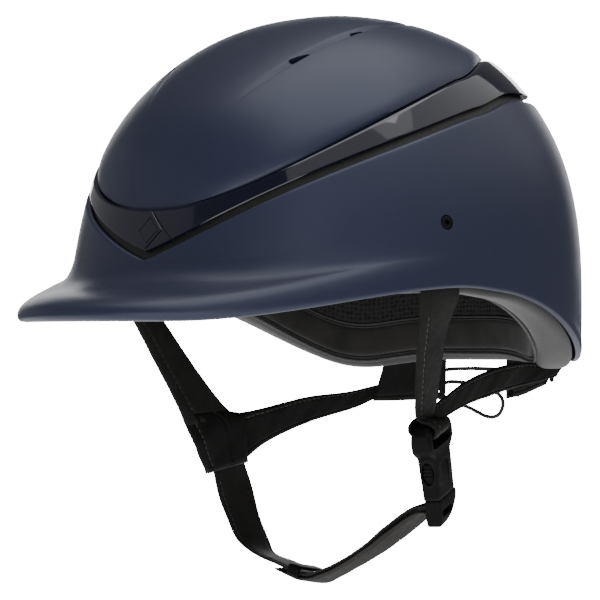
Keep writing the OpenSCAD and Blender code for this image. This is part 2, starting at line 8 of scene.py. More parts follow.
import bmesh
import bpy
import numpy as np
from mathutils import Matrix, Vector


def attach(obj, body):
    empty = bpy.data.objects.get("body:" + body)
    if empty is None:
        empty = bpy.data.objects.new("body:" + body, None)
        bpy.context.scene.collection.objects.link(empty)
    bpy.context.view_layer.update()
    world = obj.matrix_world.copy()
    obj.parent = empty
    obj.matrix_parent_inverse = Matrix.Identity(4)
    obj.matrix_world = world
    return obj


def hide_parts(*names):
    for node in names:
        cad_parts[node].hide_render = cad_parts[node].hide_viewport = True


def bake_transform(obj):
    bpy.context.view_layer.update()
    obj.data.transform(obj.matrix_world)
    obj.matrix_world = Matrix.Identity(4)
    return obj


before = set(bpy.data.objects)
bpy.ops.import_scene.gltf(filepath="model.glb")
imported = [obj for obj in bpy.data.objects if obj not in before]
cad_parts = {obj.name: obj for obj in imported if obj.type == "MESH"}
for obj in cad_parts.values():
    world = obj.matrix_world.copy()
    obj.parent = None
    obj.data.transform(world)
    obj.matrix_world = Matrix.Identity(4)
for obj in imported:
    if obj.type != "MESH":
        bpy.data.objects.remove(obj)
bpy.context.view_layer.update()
scene = bpy.context.scene
MM = 0.001


# ---- Camera ----

CAMERA_AZIMUTH, CAMERA_ELEVATION, CAMERA_DISTANCE = 45, -1, 1.5
CAMERA_LENS = 186.3
CAMERA_SHIFT = (-0.057, -0.0196)


def linked(name, data):
    """A new object in the scene."""
    obj = bpy.data.objects.new(name, data)
    scene.collection.objects.link(obj)
    return obj


def aimed(obj, azimuth, elevation, distance):
    """Puts a camera or a light round the helmet, facing the frame's origin. Angles are in degrees."""
    az, el = math.radians(azimuth), math.radians(elevation)
    place = Vector((math.sin(az) * math.cos(el), -math.cos(az) * math.cos(el), math.sin(el)))
    obj.location = place * distance
    obj.rotation_euler = (-place).to_track_quat("-Z", "Y").to_euler()
    return obj


def make_camera():
    data = bpy.data.cameras.new("camera")
    data.lens = CAMERA_LENS
    data.shift_x, data.shift_y = CAMERA_SHIFT
    scene.camera = aimed(linked("camera", data), CAMERA_AZIMUTH, CAMERA_ELEVATION, CAMERA_DISTANCE)


make_camera()


# ---- Mesh helpers ----

SHARP = 35
STEPS_PER_SPAN = 24


def unit(v):
    return v / np.maximum(np.linalg.norm(v, axis=-1, keepdims=True), 1e-12)


def turns(count):
    """Even angles round a circle, in radians."""
    return np.arange(count) * 2 * math.pi / count


def ring(count):
    """Points round a level circle of radius 1."""
    turn = turns(count)
    return np.stack([np.cos(turn), np.sin(turn), 0 * turn], -1)


def facing(outward):
    """Three axes: the third along the given direction, the first level and across it."""
    outward = unit(np.asarray(outward, float))
    first = unit(np.cross(outward, [0, 0, 1.0]))
    return np.stack([first, np.cross(outward, first), outward])


def smooth_line(points, count):
    """Evenly spaced points on a Catmull-Rom curve through the given ones."""
    p = np.asarray(points, float)
    p = np.vstack([2 * p[0] - p[1], p, 2 * p[-1] - p[-2]])
    t = np.linspace(0, 1, STEPS_PER_SPAN, endpoint=False)[:, None]
    spans = [
        0.5 * (2 * b + (c - a) * t + (2 * a - 5 * b + 4 * c - d) * t**2 + (3 * b - a - 3 * c + d) * t**3)
        for a, b, c, d in zip(p[:-3], p[1:-2], p[2:-1], p[3:])
    ]
    fine = np.vstack([*spans, p[-2][None]])
    run = np.concatenate([[0], np.cumsum(np.linalg.norm(np.diff(fine, axis=0), axis=1))])
    at = np.linspace(0, run[-1], count)
    return np.stack([np.interp(at, run, column) for column in fine.T], 1)


def new_object(name, points, faces, uv=None, sharp=SHARP):
    """A mesh from points in millimetres. uv holds a pair in metres for each corner of each face."""
    mesh = bpy.data.meshes.new(name)
    mesh.from_pydata((points * MM).tolist(), [], faces)
    if uv is not None:
        layer = mesh.uv_layers.new(name="weave")
        layer.data.foreach_set("uv", np.asarray(uv, np.float32).ravel())
    obj = linked(name, mesh)
    tidy_mesh(obj, sharp)
    return obj


def tidy_mesh(obj, sharp=SHARP):
    """Faces point outwards and shade smoothly, except over edges sharper than the given angle."""
    bm = bmesh.new()
    bm.from_mesh(obj.data)
    bmesh.ops.recalc_face_normals(bm, faces=bm.faces)
    bm.to_mesh(obj.data)
    bm.free()
    obj.data.shade_smooth()
    obj.data.set_sharp_from_angle(angle=math.radians(sharp))


def steps_along(points, axis):
    """Mean running length along one axis of a grid of points, in metres."""
    gaps = np.linalg.norm(np.diff(points, axis=axis), axis=2).mean(1 - axis)
    return np.concatenate([[0], np.cumsum(gaps)]) * MM


def grid(name, rows, close_rows=False, close_columns=False, caps=False, poles=None, sharp=SHARP):
    """A mesh from an (n, k, 3) grid of points, with a UV map in metres along and across it.

    caps closes the two end sections. poles are two points that close the first and the last column."""
    rows = np.asarray(rows, float)
    n, k = rows.shape[:2]
    i, j = np.meshgrid(
        np.arange(n if close_rows else n - 1), np.arange(k if close_columns else k - 1), indexing="ij")
    corners = [(i, j), (i + 1, j), (i + 1, j + 1), (i, j + 1)]
    faces = np.stack([(a % n) * k + b % k for a, b in corners], -1).reshape(-1, 4).tolist()
    full = np.concatenate([rows, rows[:1]]) if close_rows else rows
    full = np.concatenate([full, full[:, :1]], 1) if close_columns else full
    along, across = steps_along(full, 0), steps_along(full, 1)
    uv = np.stack([np.stack([along[a], across[b]], -1) for a, b in corners], 2).reshape(-1, 2).tolist()
    points = rows.reshape(-1, 3)
    if caps:
        faces += [list(range(k)), [(n - 1) * k + c for c in range(k - 1, -1, -1)]]
        uv += [[0.0, 0.0]] * (2 * k)
    if poles is not None:
        points = np.vstack([points, poles])
        for pole, column in ((n * k, 0), (n * k + 1, k - 1)):
            for row in range(n):
                faces.append([pole, row * k + column, ((row + 1) % n) * k + column])
                uv += [[along[row], across[column]]] * 3
    return new_object(name, points, faces, uv, sharp)


def applied(obj, kind, **settings):
    """Adds one modifier with the given settings and makes its result the piece's mesh."""
    modifier = obj.modifiers.new(kind.lower(), kind)
    for key, value in settings.items():
        setattr(modifier, key, value)
    bpy.context.view_layer.update()
    graph = bpy.context.evaluated_depsgraph_get()
    mesh = bpy.data.meshes.new_from_object(
        obj.evaluated_get(graph), preserve_all_data_layers=True, depsgraph=graph)
    obj.modifiers.clear()
    obj.data = mesh


def cut(obj, cutters, sharp=SHARP):
    """Cuts each cutter out of the piece and removes it."""
    for cutter in cutters:
        applied(obj, "BOOLEAN", operation="DIFFERENCE", solver="EXACT", object=cutter)
        bpy.data.objects.remove(cutter)
    tidy_mesh(obj, sharp)
    return obj


def bevel(obj, width, segments=2, sharp=SHARP):
    """Rounds the edges that are sharper than the given angle. width is in millimetres."""
    applied(obj, "BEVEL", width=width * MM, segments=segments, limit_method="ANGLE",
            angle_limit=math.radians(sharp))
    tidy_mesh(obj, sharp)
    return obj


def join(name, objects):
    """Several meshes as one piece."""
    mesh = bpy.data.meshes.new(name)
    bm = bmesh.new()
    for o in objects:
        bm.from_mesh(o.data)
    bm.to_mesh(mesh)
    bm.free()
    for o in objects:
        bpy.data.objects.remove(o)
    obj = linked(name, mesh)
    tidy_mesh(obj)
    return obj


def mirrored(points):
    """The same points on the wearer's other side."""
    return np.asarray(points, float) * [-1, 1, 1]


def coat(obj, material):
    obj.data.materials.clear()
    obj.data.materials.append(material)


def finish_piece(obj, material, nodes=(), body="helmet"):
    """A piece's material, the CAD nodes that it replaces and the body that it rides on."""
    coat(obj, material)
    if nodes:
        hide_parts(*nodes)
    if body:
        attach(obj, body)
    return obj


# ---- Cords: the lace across the nape and its free bow loop ----

LACE_D = 0.002
LACE_ROUTE = [
    (-0.031, 0.106, -0.041), (-0.024, 0.1065, -0.04), (-0.012, 0.107, -0.0395), (0, 0.1075, -0.0395),
    (0.012, 0.107, -0.04), (0.022, 0.1065, -0.0405), (0.028, 0.106, -0.042), (0.031, 0.1055, -0.045),
    (0.028, 0.106, -0.048), (0.02, 0.1065, -0.049), (0.008, 0.107, -0.0485), (-0.004, 0.107, -0.0475),
    (-0.016, 0.107, -0.0465), (-0.024, 0.1065, -0.0465), (-0.029, 0.106, -0.0485),
    (-0.031, 0.1055, -0.052), (-0.028, 0.1055, -0.055),
]
LOOP_ROUTE = [
    (-0.027, 0.1055, -0.056), (-0.0225, 0.1055, -0.057), (-0.016, 0.105, -0.0575),
    (-0.009, 0.105, -0.059), (-0.0025, 0.1055, -0.0615), (0.003, 0.106, -0.0635),
    (0.009, 0.106, -0.0635), (0.0135, 0.1055, -0.0605), (0.015, 0.105, -0.056),
    (0.013, 0.1045, -0.0525), (0.007, 0.1045, -0.051), (0.0005, 0.104, -0.0515),
    (-0.006, 0.1035, -0.053), (-0.0125, 0.1035, -0.054), (-0.0175, 0.1038, -0.0535),
]


def make_cord(name, route, node):
    data = bpy.data.curves.new(name, "CURVE")
    data.dimensions = "3D"
    data.bevel_depth = LACE_D / 2
    data.bevel_resolution = 4
    data.resolution_u = 8
    data.use_fill_caps = True
    spline = data.splines.new("BEZIER")
    spline.bezier_points.add(len(route) - 1)
    for point, place in zip(spline.bezier_points, route):
        point.co = place
        point.handle_left_type = point.handle_right_type = "AUTO"
    obj = linked(name, data)
    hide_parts(node)
    return obj


lace = make_cord("lace_across_nape", LACE_ROUTE, "nape_lace")
bow = make_cord("lace_bow_loop", LOOP_ROUTE, "lace_loop")


# ---- Materials ----

# A wave texture repeats every 2 pi / 20 units at scale 1
RIB_SCALE = 0.314159


class Surface:
    """A procedural material: helper nodes for colour, roughness and bump on one Principled shader."""

    def __init__(self, name, space="Object"):
        self.material = bpy.data.materials.new(name)
        self.material.use_nodes = True
        self.tree = self.material.node_tree
        self.shader = self.tree.nodes["Principled BSDF"]
        self.normal = None
        if space == "Object":
            self.place = self.node("ShaderNodeTexCoord").outputs["Object"]
        else:
            found = self.node("ShaderNodeUVMap")
            found.uv_map = "weave"
            self.place = found.outputs["UV"]

    def node(self, kind, **values):
        made = self.tree.nodes.new(kind)
        for key, value in values.items():
            if hasattr(made, key):
                setattr(made, key, value)
            else:
                made.inputs[key.replace("_", " ").capitalize()].default_value = value
        return made

    def link(self, output, target):
        self.tree.links.new(output, target)

    def set(self, **values):
        """Constant values on the shader's own sockets."""
        for key, value in values.items():
            self.shader.inputs[key.replace("_", " ")].default_value = value
        return self

    def noise(self, scale, detail=3.0, stretch=None):
        made = self.node("ShaderNodeTexNoise", Scale=scale, Detail=detail)
        self.link(self.scaled(stretch), made.inputs["Vector"])
        return made.outputs["Fac"]

    def scaled(self, stretch):
        if stretch is None:
            return self.place
        mapping = self.node("ShaderNodeMapping")
        mapping.inputs["Scale"].default_value = stretch
        self.link(self.place, mapping.inputs["Vector"])
        return mapping.outputs["Vector"]

    def cells(self, scale, randomness=1.0):
        made = self.node("ShaderNodeTexVoronoi", Scale=scale, Randomness=randomness)
        self.link(self.place, made.inputs["Vector"])
        return made.outputs["Distance"]

    def ribs(self, period, angle, distortion=0.0):
        """Even ribs across the UV map, period in metres, turned by an angle in degrees."""
        mapping = self.node("ShaderNodeMapping")
        mapping.inputs["Rotation"].default_value = (0, 0, math.radians(angle))
        self.link(self.place, mapping.inputs["Vector"])
        made = self.node("ShaderNodeTexWave", Scale=RIB_SCALE / period, Distortion=distortion, Detail=2.0)
        self.link(mapping.outputs["Vector"], made.inputs["Vector"])
        return made.outputs["Fac"]

    def spread(self, value, low, high, start=0.0, stop=1.0):
        made = self.node("ShaderNodeMapRange")
        for socket, number in zip(("From Min", "From Max", "To Min", "To Max"), (start, stop, low, high)):
            made.inputs[socket].default_value = number
        self.link(value, made.inputs["Value"])
        return made.outputs["Result"]

    def times(self, a, b):
        made = self.node("ShaderNodeMath", operation="MULTIPLY")
        self.link(a, made.inputs[0])
        self.link(b, made.inputs[1])
        return made.outputs[0]

    def colour(self, value, low, high, start=0.3, stop=0.7):
        """Base colour that runs from low to high as a value does."""
        ramp = self.node("ShaderNodeValToRGB")
        ramp.color_ramp.elements[0].position, ramp.color_ramp.elements[1].position = start, stop
        ramp.color_ramp.elements[0].color = (*low, 1)
        ramp.color_ramp.elements[1].color = (*high, 1)
        self.link(value, ramp.inputs["Fac"])
        self.link(ramp.outputs["Color"], self.shader.inputs["Base Color"])
        return self

    def roughness(self, value, low, high):
        self.link(self.spread(value, low, high), self.shader.inputs["Roughness"])
        return self

    def bump(self, value, strength, distance):
        made = self.node("ShaderNodeBump", Strength=strength, Distance=distance * MM)
        self.link(value, made.inputs["Height"])
        if self.normal is not None:
            self.link(self.normal, made.inputs["Normal"])
        self.normal = made.outputs["Normal"]
        self.link(self.normal, self.shader.inputs["Normal"])
        return self


def satin_paint():
    s = Surface("satin_navy_paint")
    s.colour(s.noise(7, 2), (0.0180, 0.0205, 0.0455), (0.0205, 0.0232, 0.0515))
    s.roughness(s.noise(160, 3), 0.37, 0.44)
    s.bump(s.noise(2600, 2), 0.10, 0.05)
    return s.set(Specular_IOR_Level=0.5, Specular_Tint=(0.82, 0.87, 1, 1)).material


def gloss_paint():
    s = Surface("gloss_navy_lacquer")
    s.colour(s.noise(900, 2), (0.0022, 0.0026, 0.0115), (0.0036, 0.0042, 0.0160))
    s.roughness(s.noise(60, 2), 0.05, 0.09)
    s.bump(s.noise(90, 1), 0.05, 0.05)
    return s.set(Specular_IOR_Level=0.55, Coat_Weight=0.4, Coat_Roughness=0.03).material


def leather(name="black_synthetic_leather", low=(0.0085, 0.0082, 0.0078),
            high=(0.0135, 0.0129, 0.0122)):
    s = Surface(name)
    grain = s.cells(1150)
    s.colour(s.noise(45, 4), low, high)
    s.roughness(s.times(s.noise(380, 3), s.spread(grain, 0.9, 1.15)), 0.46, 0.78)
    s.bump(s.noise(70, 3), 0.25, 0.35)
    s.bump(grain, 0.30, 0.16)
    return s.set(Specular_IOR_Level=0.11).material


# A lighter copy of the black leather: painted light for the far front strap and the chin strap, standing in
# for the fill light these shaded straps lack.
def painted_fill_leather():
    return leather("black_leather_painted_fill_light", (0.0230, 0.0220, 0.0208), (0.0330, 0.0316, 0.0300))


def leather_edge():
    s = Surface("leather_edge_binding")
    s.colour(s.noise(300, 3), (0.0045, 0.0045, 0.0047), (0.0085, 0.0083, 0.0084))
    s.roughness(s.noise(500, 2), 0.35, 0.6)
    s.bump(s.noise(900, 2), 0.2, 0.1)
    return s.material


def thread():
    s = Surface("stitching_thread")
    s.colour(s.noise(1500, 2), (0.035, 0.034, 0.032), (0.085, 0.083, 0.078))
    s.roughness(s.noise(900, 2), 0.55, 0.8)
    s.bump(s.noise(3500, 2, (1, 1, 3)), 0.4, 0.08)
    return s.material


def twill():
    s = Surface("grey_twill", "UV")
    ribs = s.ribs(0.0012, 38, 0.4)
    yarn = s.ribs(0.0006, -52, 0.8)
    weave = s.times(s.spread(ribs, 0.6, 1.0), s.spread(yarn, 0.7, 1.0))
    worn = s.times(weave, s.spread(s.noise(60, 3), 0.75, 1.15))
    s.colour(worn, (0.014, 0.014, 0.014), (0.056, 0.056, 0.058), 0.2, 0.95)
    s.roughness(weave, 0.9, 0.72)
    s.bump(weave, 0.55, 0.22)
    return s.set(Sheen_Weight=0.25, Sheen_Roughness=0.5, Specular_IOR_Level=0.3).material


def brushed_fabric():
    s = Surface("black_brushed_fabric")
    fuzz = s.noise(1900, 4)
    s.colour(s.noise(55, 4), (0.012, 0.0113, 0.0105), (0.024, 0.0226, 0.021))
    s.roughness(fuzz, 0.8, 0.98)
    s.bump(s.noise(120, 3), 0.35, 0.5)
    s.bump(fuzz, 0.5, 0.18)
    return s.set(Sheen_Weight=0.12, Sheen_Roughness=0.6, Specular_IOR_Level=0.25).material


def spacer_mesh():
    s = Surface("black_spacer_mesh", "UV")
    holes = s.cells(620, 0.3)
    s.colour(holes, (0.002, 0.002, 0.002), (0.021, 0.020, 0.019), 0.15, 0.5)
    s.roughness(s.noise(900, 3), 0.75, 0.95)
    s.bump(holes, 0.9, 0.5)
    return s.set(Specular_IOR_Level=0.3).material


def moulded_plastic():
    s = Surface("black_moulded_plastic")
    wear = s.node("ShaderNodeNewGeometry").outputs["Pointiness"]
    worn = s.times(s.spread(s.noise(700, 3), 0.94, 1.0), wear)
    s.colour(worn, (0.0040, 0.0039, 0.0037), (0.0100, 0.0097, 0.0093), 0.46, 0.56)
    s.roughness(s.noise(260, 3), 0.42, 0.6)
    s.bump(s.noise(2400, 2), 0.25, 0.06)
    return s.set(Specular_IOR_Level=0.07).material


def braided_cord():
    s = Surface("black_elastic_cord")
    strands = s.noise(1500, 2, (1, 1, 2.2))
    s.colour(strands, (0.004, 0.004, 0.004), (0.013, 0.013, 0.013))
    s.roughness(strands, 0.55, 0.85)
    s.bump(strands, 0.7, 0.25)
    return s.material


def bead_foam():
    s = Surface("black_bead_foam")
    beads = s.cells(330)
    s.colour(beads, (0.004, 0.004, 0.004), (0.013, 0.013, 0.013), 0.1, 0.7)
    s.roughness(s.noise(400, 2), 0.6, 0.8)
    s.bump(beads, 0.6, 0.4)
    return s.material


def plated_steel():
    s = Surface("zinc_plated_steel")
    s.colour(s.noise(300, 3), (0.42, 0.42, 0.43), (0.58, 0.58, 0.6))
    s.roughness(s.noise(1200, 3, (1, 6, 1)), 0.25, 0.45)
    s.bump(s.noise(1600, 2, (1, 8, 1)), 0.15, 0.03)
    return s.set(Metallic=1.0).material


PAINT, GLOSS, LEATHER, PAINTED_FILL_LEATHER, BINDING, THREAD, TWILL, FABRIC, MESH, PLASTIC, CORD, FOAM, STEEL = (
    make() for make in (
        satin_paint, gloss_paint, leather, painted_fill_leather, leather_edge, thread, twill, brushed_fabric,
        spacer_mesh, moulded_plastic, braided_cord, bead_foam, plated_steel))

finish_piece(lace, CORD)
finish_piece(bow, CORD)


# ---- Surface of the helmet, as the CAD source has it ----

HALF_W, FRONT_LEN, REAR_LEN, CROWN_H = 112.0, 133.0, 117.0, 131.0
BROW, CORNER, FULLNESS, SKIRT_H = 8.0, 2.3, 0.9, 220.0
PEAK_REACH, PEAK_FLARE, PEAK_DROP, NAPE_DROP, NAPE_ARCH = 41.0, 8.0, 16.0, 36.5, 0.16
BAND_TOP_Z, BAND_CLIMB, BAND_TIP_Z, BAND_BACK_Z, BAND_GAP = 35.0, 74.0, 15.0, 92.0, 3.6
SHELL_WALL, FOAM_OUTER, FOAM_INNER = 2.5, 6.0, 21.0
STATIONS = 288
ANGLES = np.arange(STATIONS) * 360 / STATIONS


def cosd(a):
    return np.cos(np.radians(a))


def sind(a):
    return np.sin(np.radians(a))


def spow(v, e):
    """A power that keeps the sign."""
    return np.sign(v) * np.abs(v) ** e


def away(a):
    """Angle from the front, 0 to 180, the same on both sides."""
    a = np.asarray(a, float) % 360
    return np.minimum(a, 360 - a)


def by_side(a, front, side, rear):
    """A value that changes smoothly between the front, the sides and the back."""
    c = cosd(a)
    return side + (front - side) * np.maximum(c, 0) ** 2 + (rear - side) * np.maximum(-c, 0) ** 2


def ease(a, a0, a1):
    """Smooth step from 0 at a0 to 1 at a1."""
    return (1 - cosd(180 * np.clip((a - a0) / (a1 - a0), 0, 1))) / 2


def equator(a):
    return by_side(a, 72, 16, 0)


def roundness(a):
    return by_side(a, 2.05, 2.9, 2.4)


def sine_at(a, z, depth):
    rise = (z + equator(a)) / (CROWN_H - depth + equator(a))
    return np.where(rise >= 0, np.clip(rise, 0, 1) ** (roundness(a) / 2), (z + equator(a)) / SKIRT_H)


def dome(a, z, depth=0.0):
    """Point on the helmet's surface at an angle and a height, a given depth below it."""
    a, z, depth = np.broadcast_arrays(*(np.asarray(v, float) for v in (a, z, depth)))
    s = sine_at(a, z, depth)
    c = np.sqrt(np.maximum(0, 1 - s * s)) ** FULLNESS
    rise = np.clip((z + equator(a)) / (CROWN_H - depth + equator(a)), 0, 1)
    bulge = BROW * np.maximum(cosd(a), 0) ** 2 * np.exp(-(((z - 75) / 35) ** 2)) * (1 - rise**16)
    length = np.where(cosd(a) > 0, FRONT_LEN, REAR_LEN) - depth
    return np.stack([
        (HALF_W - depth) * c * spow(sind(a), 2 / CORNER),
        -length * c * spow(cosd(a), 2 / CORNER) - bulge,
        z], -1)


def latitude(a, z, depth):
    return np.degrees(np.arcsin(sine_at(a, z, depth)))


def height_at(a, lat, depth):
    above = (CROWN_H - depth + equator(a)) * np.maximum(0, sind(lat)) ** (2 / roundness(a))
    return np.where(sind(lat) < 0, SKIRT_H * sind(lat), above) - equator(a)


def at_latitude(a, lat, depth):
    return dome(a, height_at(a, lat, depth), depth)


def surface_frame(a, z, depth=0.0, along=None):
    """Origin and axes (along, across, outward) on the surface, as a point and three rows."""
    du = dome(a + 0.5, z, depth) - dome(a - 0.5, z, depth)
    dv = dome(a, z + 0.5, depth) - dome(a, z - 0.5, depth)
    outward = unit(np.cross(du, dv))
    first = unit(du) if along is None else unit(along - outward * np.dot(along, outward))
    return dome(a, z, depth), np.stack([first, np.cross(outward, first), outward])


def placed(points, origin, axes):
    """Local points put where a frame is."""
    return origin + np.asarray(points, float) @ axes


def band_top(a):
    return BAND_TOP_Z + BAND_CLIMB * ease(away(a), 0, 124)


def band_bottom(a):
    return -3 * np.log(np.exp(-(BAND_TIP_Z + 0.75 * away(a)) / 3) + np.exp(-BAND_BACK_Z / 3))


def shell_lip(a):
    return band_bottom(a) - BAND_GAP


def nape_part(a):
    return ease(away(a), 78, 149) * (1 - NAPE_ARCH * ease(away(a), 130, 172))


def peak_part(a):
    return 1 - ease(away(a), 22, 86)


def rim_z(a):
    return -1 - NAPE_DROP * nape_part(a) - 5 * peak_part(a)


def edge_z(a):
    return -1 - NAPE_DROP * nape_part(a) - PEAK_DROP * peak_part(a)


def peak_reach_at(a):
    return np.maximum(0, cosd(np.minimum(90, away(a) * 90 / 82))) ** 1.3


def shares(first, last, count, end=False):
    """Even steps from first to last. end says whether last is one of them."""
    return np.linspace(first, last, count, endpoint=end)


# ---- Lower shell with the peak ----

PEAK_PROFILE = [
    (0, 27), (0.03, 23.5), (0.08, 20.5), (0.16, 17.8), (0.32, 15.4), (0.58, 13.4),
    (0.8, 11), (0.94, 8), (1, 4.6), (0.985, 1.8), (0.93, 0.4), (0.84, 0)]
SHELL_LIP = [(SHELL_WALL, -0.7), (2.1, -0.15), (1.3, 0), (0.5, -0.2), (0.1, -0.8), (0, -1.6)]
RIM_BEAD = 0.5
SCREW_ANGLE, SCREW_Z, SCREW_HEAD_D = 77.0, 28.0, 6.2


def peak_row(a, share, h):
    reach = peak_reach_at(a) * share
    bead = RIM_BEAD * nape_part(a) * np.exp(-(((h - 4) / 2.6) ** 2))
    round_off = 0.9 * (1 - peak_reach_at(a)) * max(0, 1 - h / 1.2) ** 2
    out = np.stack([
        PEAK_FLARE * reach * spow(sind(a), 2 / CORNER),
        -PEAK_REACH * reach * spow(cosd(a), 2 / CORNER),
        0 * a], -1)
    return dome(a, edge_z(a) + h, round_off - bead) + out


def make_shell():
    a = ANGLES
    lip, fillet = shell_lip(a), edge_z(a) + PEAK_PROFILE[0][1]
    rows = [dome(a, lip + dz, depth) for depth, dz in SHELL_LIP]
    rows += [dome(a, (lip - 1.6) * (1 - t) + fillet * t) for t in shares(0, 1, 26)[1:]]
    profile = smooth_line(np.array(PEAK_PROFILE) * [PEAK_REACH, 1], 54) / [PEAK_REACH, 1]
    rows += [peak_row(a, share, h) for share, h in profile]
    edge, inner = rows[-1], dome(a, rim_z(a) + 0.4, SHELL_WALL)
    rows += [edge * (1 - t) + inner * t for t in shares(0, 1, 8)[1:]]
    rows += [dome(a, (rim_z(a) + 0.4) * (1 - t) + (lip - 0.7) * t, SHELL_WALL) for t in shares(0, 1, 16)]
    shell = grid("lower_shell", np.stack(rows, 1), close_rows=True, close_columns=True, sharp=50)
    place = surface_frame(SCREW_ANGLE, SCREW_Z)
    bore, mouth = SCREW_HEAD_D / 2 + 0.35, SCREW_HEAD_D / 2 + 0.9
    profile = [(0, -8), (bore, -8), (bore, 0.0), (mouth, 0.7), (mouth, 4), (0, 4)]
    cut(shell, [lathe(profile, "screw_hole", *place, side) for side in (1, -1)], 50)
    return finish_piece(shell, PAINT, ["outer_shell"])


def lathe(profile, name, origin, axes, side=1, count=40, sharp=SHARP):
    """A turned solid about the frame's outward axis, from (radius, height) pairs. side -1 mirrors it."""
    rows = np.stack([ring(count) * r + [0, 0, h] for r, h in profile if r > 0], 1)
    ends = np.array([[0, 0, profile[0][1]], [0, 0, profile[-1][1]]], float)
    rows, ends = placed(rows, origin, axes), placed(ends, origin, axes)
    if side < 0:
        rows, ends = mirrored(rows), mirrored(ends)
    if profile[0][0] > 0:
        return grid(name, rows, close_rows=True, close_columns=True, sharp=sharp)
    return grid(name, rows, close_rows=True, poles=ends, sharp=sharp)


make_shell()


# ---- Crown: a raised centre panel with a step round it, and four vent slots in the step ----

PANEL_HALF_W, PANEL_CURVE, PANEL_MID_Y = 48.6, 0.0053, -35.0
GROOVE_DEPTH, GROOVE_START, GROOVE_WALL, GROOVE_STOP = 1.5, -5.0, 1.3, 2.0
GROOVE_ROWS = (2.6, 2.2, 1.8, 1.4, 1.0, 0.6, 0.2, -0.2, -0.45, -0.6, -0.7, -0.8, -0.9, -1.0, -1.2)
PANEL_SEARCH = 40
EDGE_ROLL, ROLL_REACH = 1.7, 4.0
CROWN_WALL, CROWN_EDGE_DEPTH = 2.8, 0.5
VENTS = [(38, 105, 11), (62.5, 118.5, 9)]
VENT_W = 3.0


def panel_edge(y):
    return PANEL_HALF_W - PANEL_CURVE * (y - PANEL_MID_Y) ** 2


def panel_latitude(a, low):
    """Latitude where each meridian crosses the edge of the centre panel."""
    high = np.full_like(low, 89.5)
    low = low.copy()
    for _ in range(PANEL_SEARCH):
        middle = (low + high) / 2
        p = at_latitude(a, middle, 0.5)
        inside = np.abs(p[..., 0]) < panel_edge(p[..., 1])
        high, low = np.where(inside, middle, high), np.where(inside, low, middle)
    return (low + high) / 2


def crown_row(a, lat, lat_edge, lat_step, extra=0.0):
    """A row of the crown's outer face: a groove along the panel's edge and a rolled lower edge."""
    base = CROWN_EDGE_DEPTH * (90 - lat) / (90 - lat_edge)
    base = base + EDGE_ROLL * np.maximum(0, 1 - (lat - lat_edge) / ROLL_REACH) ** 2.5
    y = at_latitude(a, lat_step, 0.5)[..., 1]
    fade = ease(y, -96, -64) * (1 - 0.4 * ease(y, 40, 60))
    gap = (lat_step - lat) * 2.0
    scoop = ease(gap, GROOVE_START, GROOVE_WALL) * (1 - ease(gap, GROOVE_WALL, GROOVE_STOP))
    return at_latitude(a, lat, base + fade * GROOVE_DEPTH * scoop + extra)


def make_crown():
    a = ANGLES
    foot, z_edge = band_top(a) + 0.4, band_top(a) + by_side(a, 0.5, 0.6, 3.2)
    lat_edge = latitude(a, z_edge, CROWN_EDGE_DEPTH)
    lat_step = np.maximum(panel_latitude(a, lat_edge), lat_edge + 1.5)
    first, last = lat_step + GROOVE_ROWS[0], np.maximum(lat_step + GROOVE_ROWS[-1], lat_edge + 0.2)
    levels = [90 - (90 - first) * t for t in shares(0, 1, 28)[1:]]
    levels += [np.maximum(lat_step + k, lat_edge + 0.2 + 0.02 * (k + 2)) for k in GROOVE_ROWS]
    levels += [last - (last - lat_edge) * t for t in shares(0, 1, 42)[1:]]
    rows = [crown_row(a, lat, lat_edge, lat_step) for lat in levels]
    lip = dome(a, z_edge, CROWN_EDGE_DEPTH + EDGE_ROLL + 0.25)
    rows += [np.column_stack([lip[:, :2] * (1 - 0.002 * t), lip[:, 2] * (1 - t) + foot * t])
             for t in (0, 0.15, 0.6, 1)]
    skirt = (band_top(a) - 3, (band_top(a) + shell_lip(a)) / 2, shell_lip(a) - 4)
    rows += [dome(a, z, 3.4) for z in (foot, *skirt)] + [dome(a, z, 5.3) for z in skirt[::-1]]
    rows += [crown_row(a, lat_edge + (90 - lat_edge) * t, lat_edge, lat_step * 0 + 120, CROWN_WALL)
             for t in shares(0, 1, 16)]
    poles = np.array([[0, 0, CROWN_H], [0, 0, CROWN_H - CROWN_WALL]])
    crown = grid("crown", np.stack(rows, 1), close_rows=True, poles=poles, sharp=60)
    cutters = []
    for side in (1, -1):
        for angle, z, length in VENTS:
            y = dome(angle, z)[1]
            run = np.array([-2 * PANEL_CURVE * (y - PANEL_MID_Y), 1.0, 0.0])
            origin, axes = surface_frame(angle, z, 0, run)
            outline = rounded_bar(length, VENT_W)
            rows = np.stack([np.column_stack([outline * grow, np.full(len(outline), h)])
                             for grow, h in ((1, -9), (1, -0.9), (1.12, 0.2), (1.5, 3))], 1)
            rows = placed(rows, origin, axes)
            rows = mirrored(rows) if side < 0 else rows
            cutters.append(grid("slot", rows, close_rows=True, poles=rows[:, [0, -1]].mean(0)))
    cut(crown, cutters, 60)
    return finish_piece(crown, PAINT, ["crown_shell"])


def rounded_bar(length, width, count=32):
    """Outline of a bar with half-round ends, along x."""
    turn = turns(count) + math.pi / count
    ends = np.where(np.cos(turn) > 0, 1, -1) * (length - width) / 2
    return np.stack([np.cos(turn) * width / 2 + ends, np.sin(turn) * width / 2], -1)


make_crown()


# ---- Gloss band and its plain badge ----

BADGE_Z, BADGE_HALF_W, BADGE_HALF_H = 25.0, 8.6, 8.4


def band_depth(a):
    return by_side(a, 0.6, 0.2, -1)


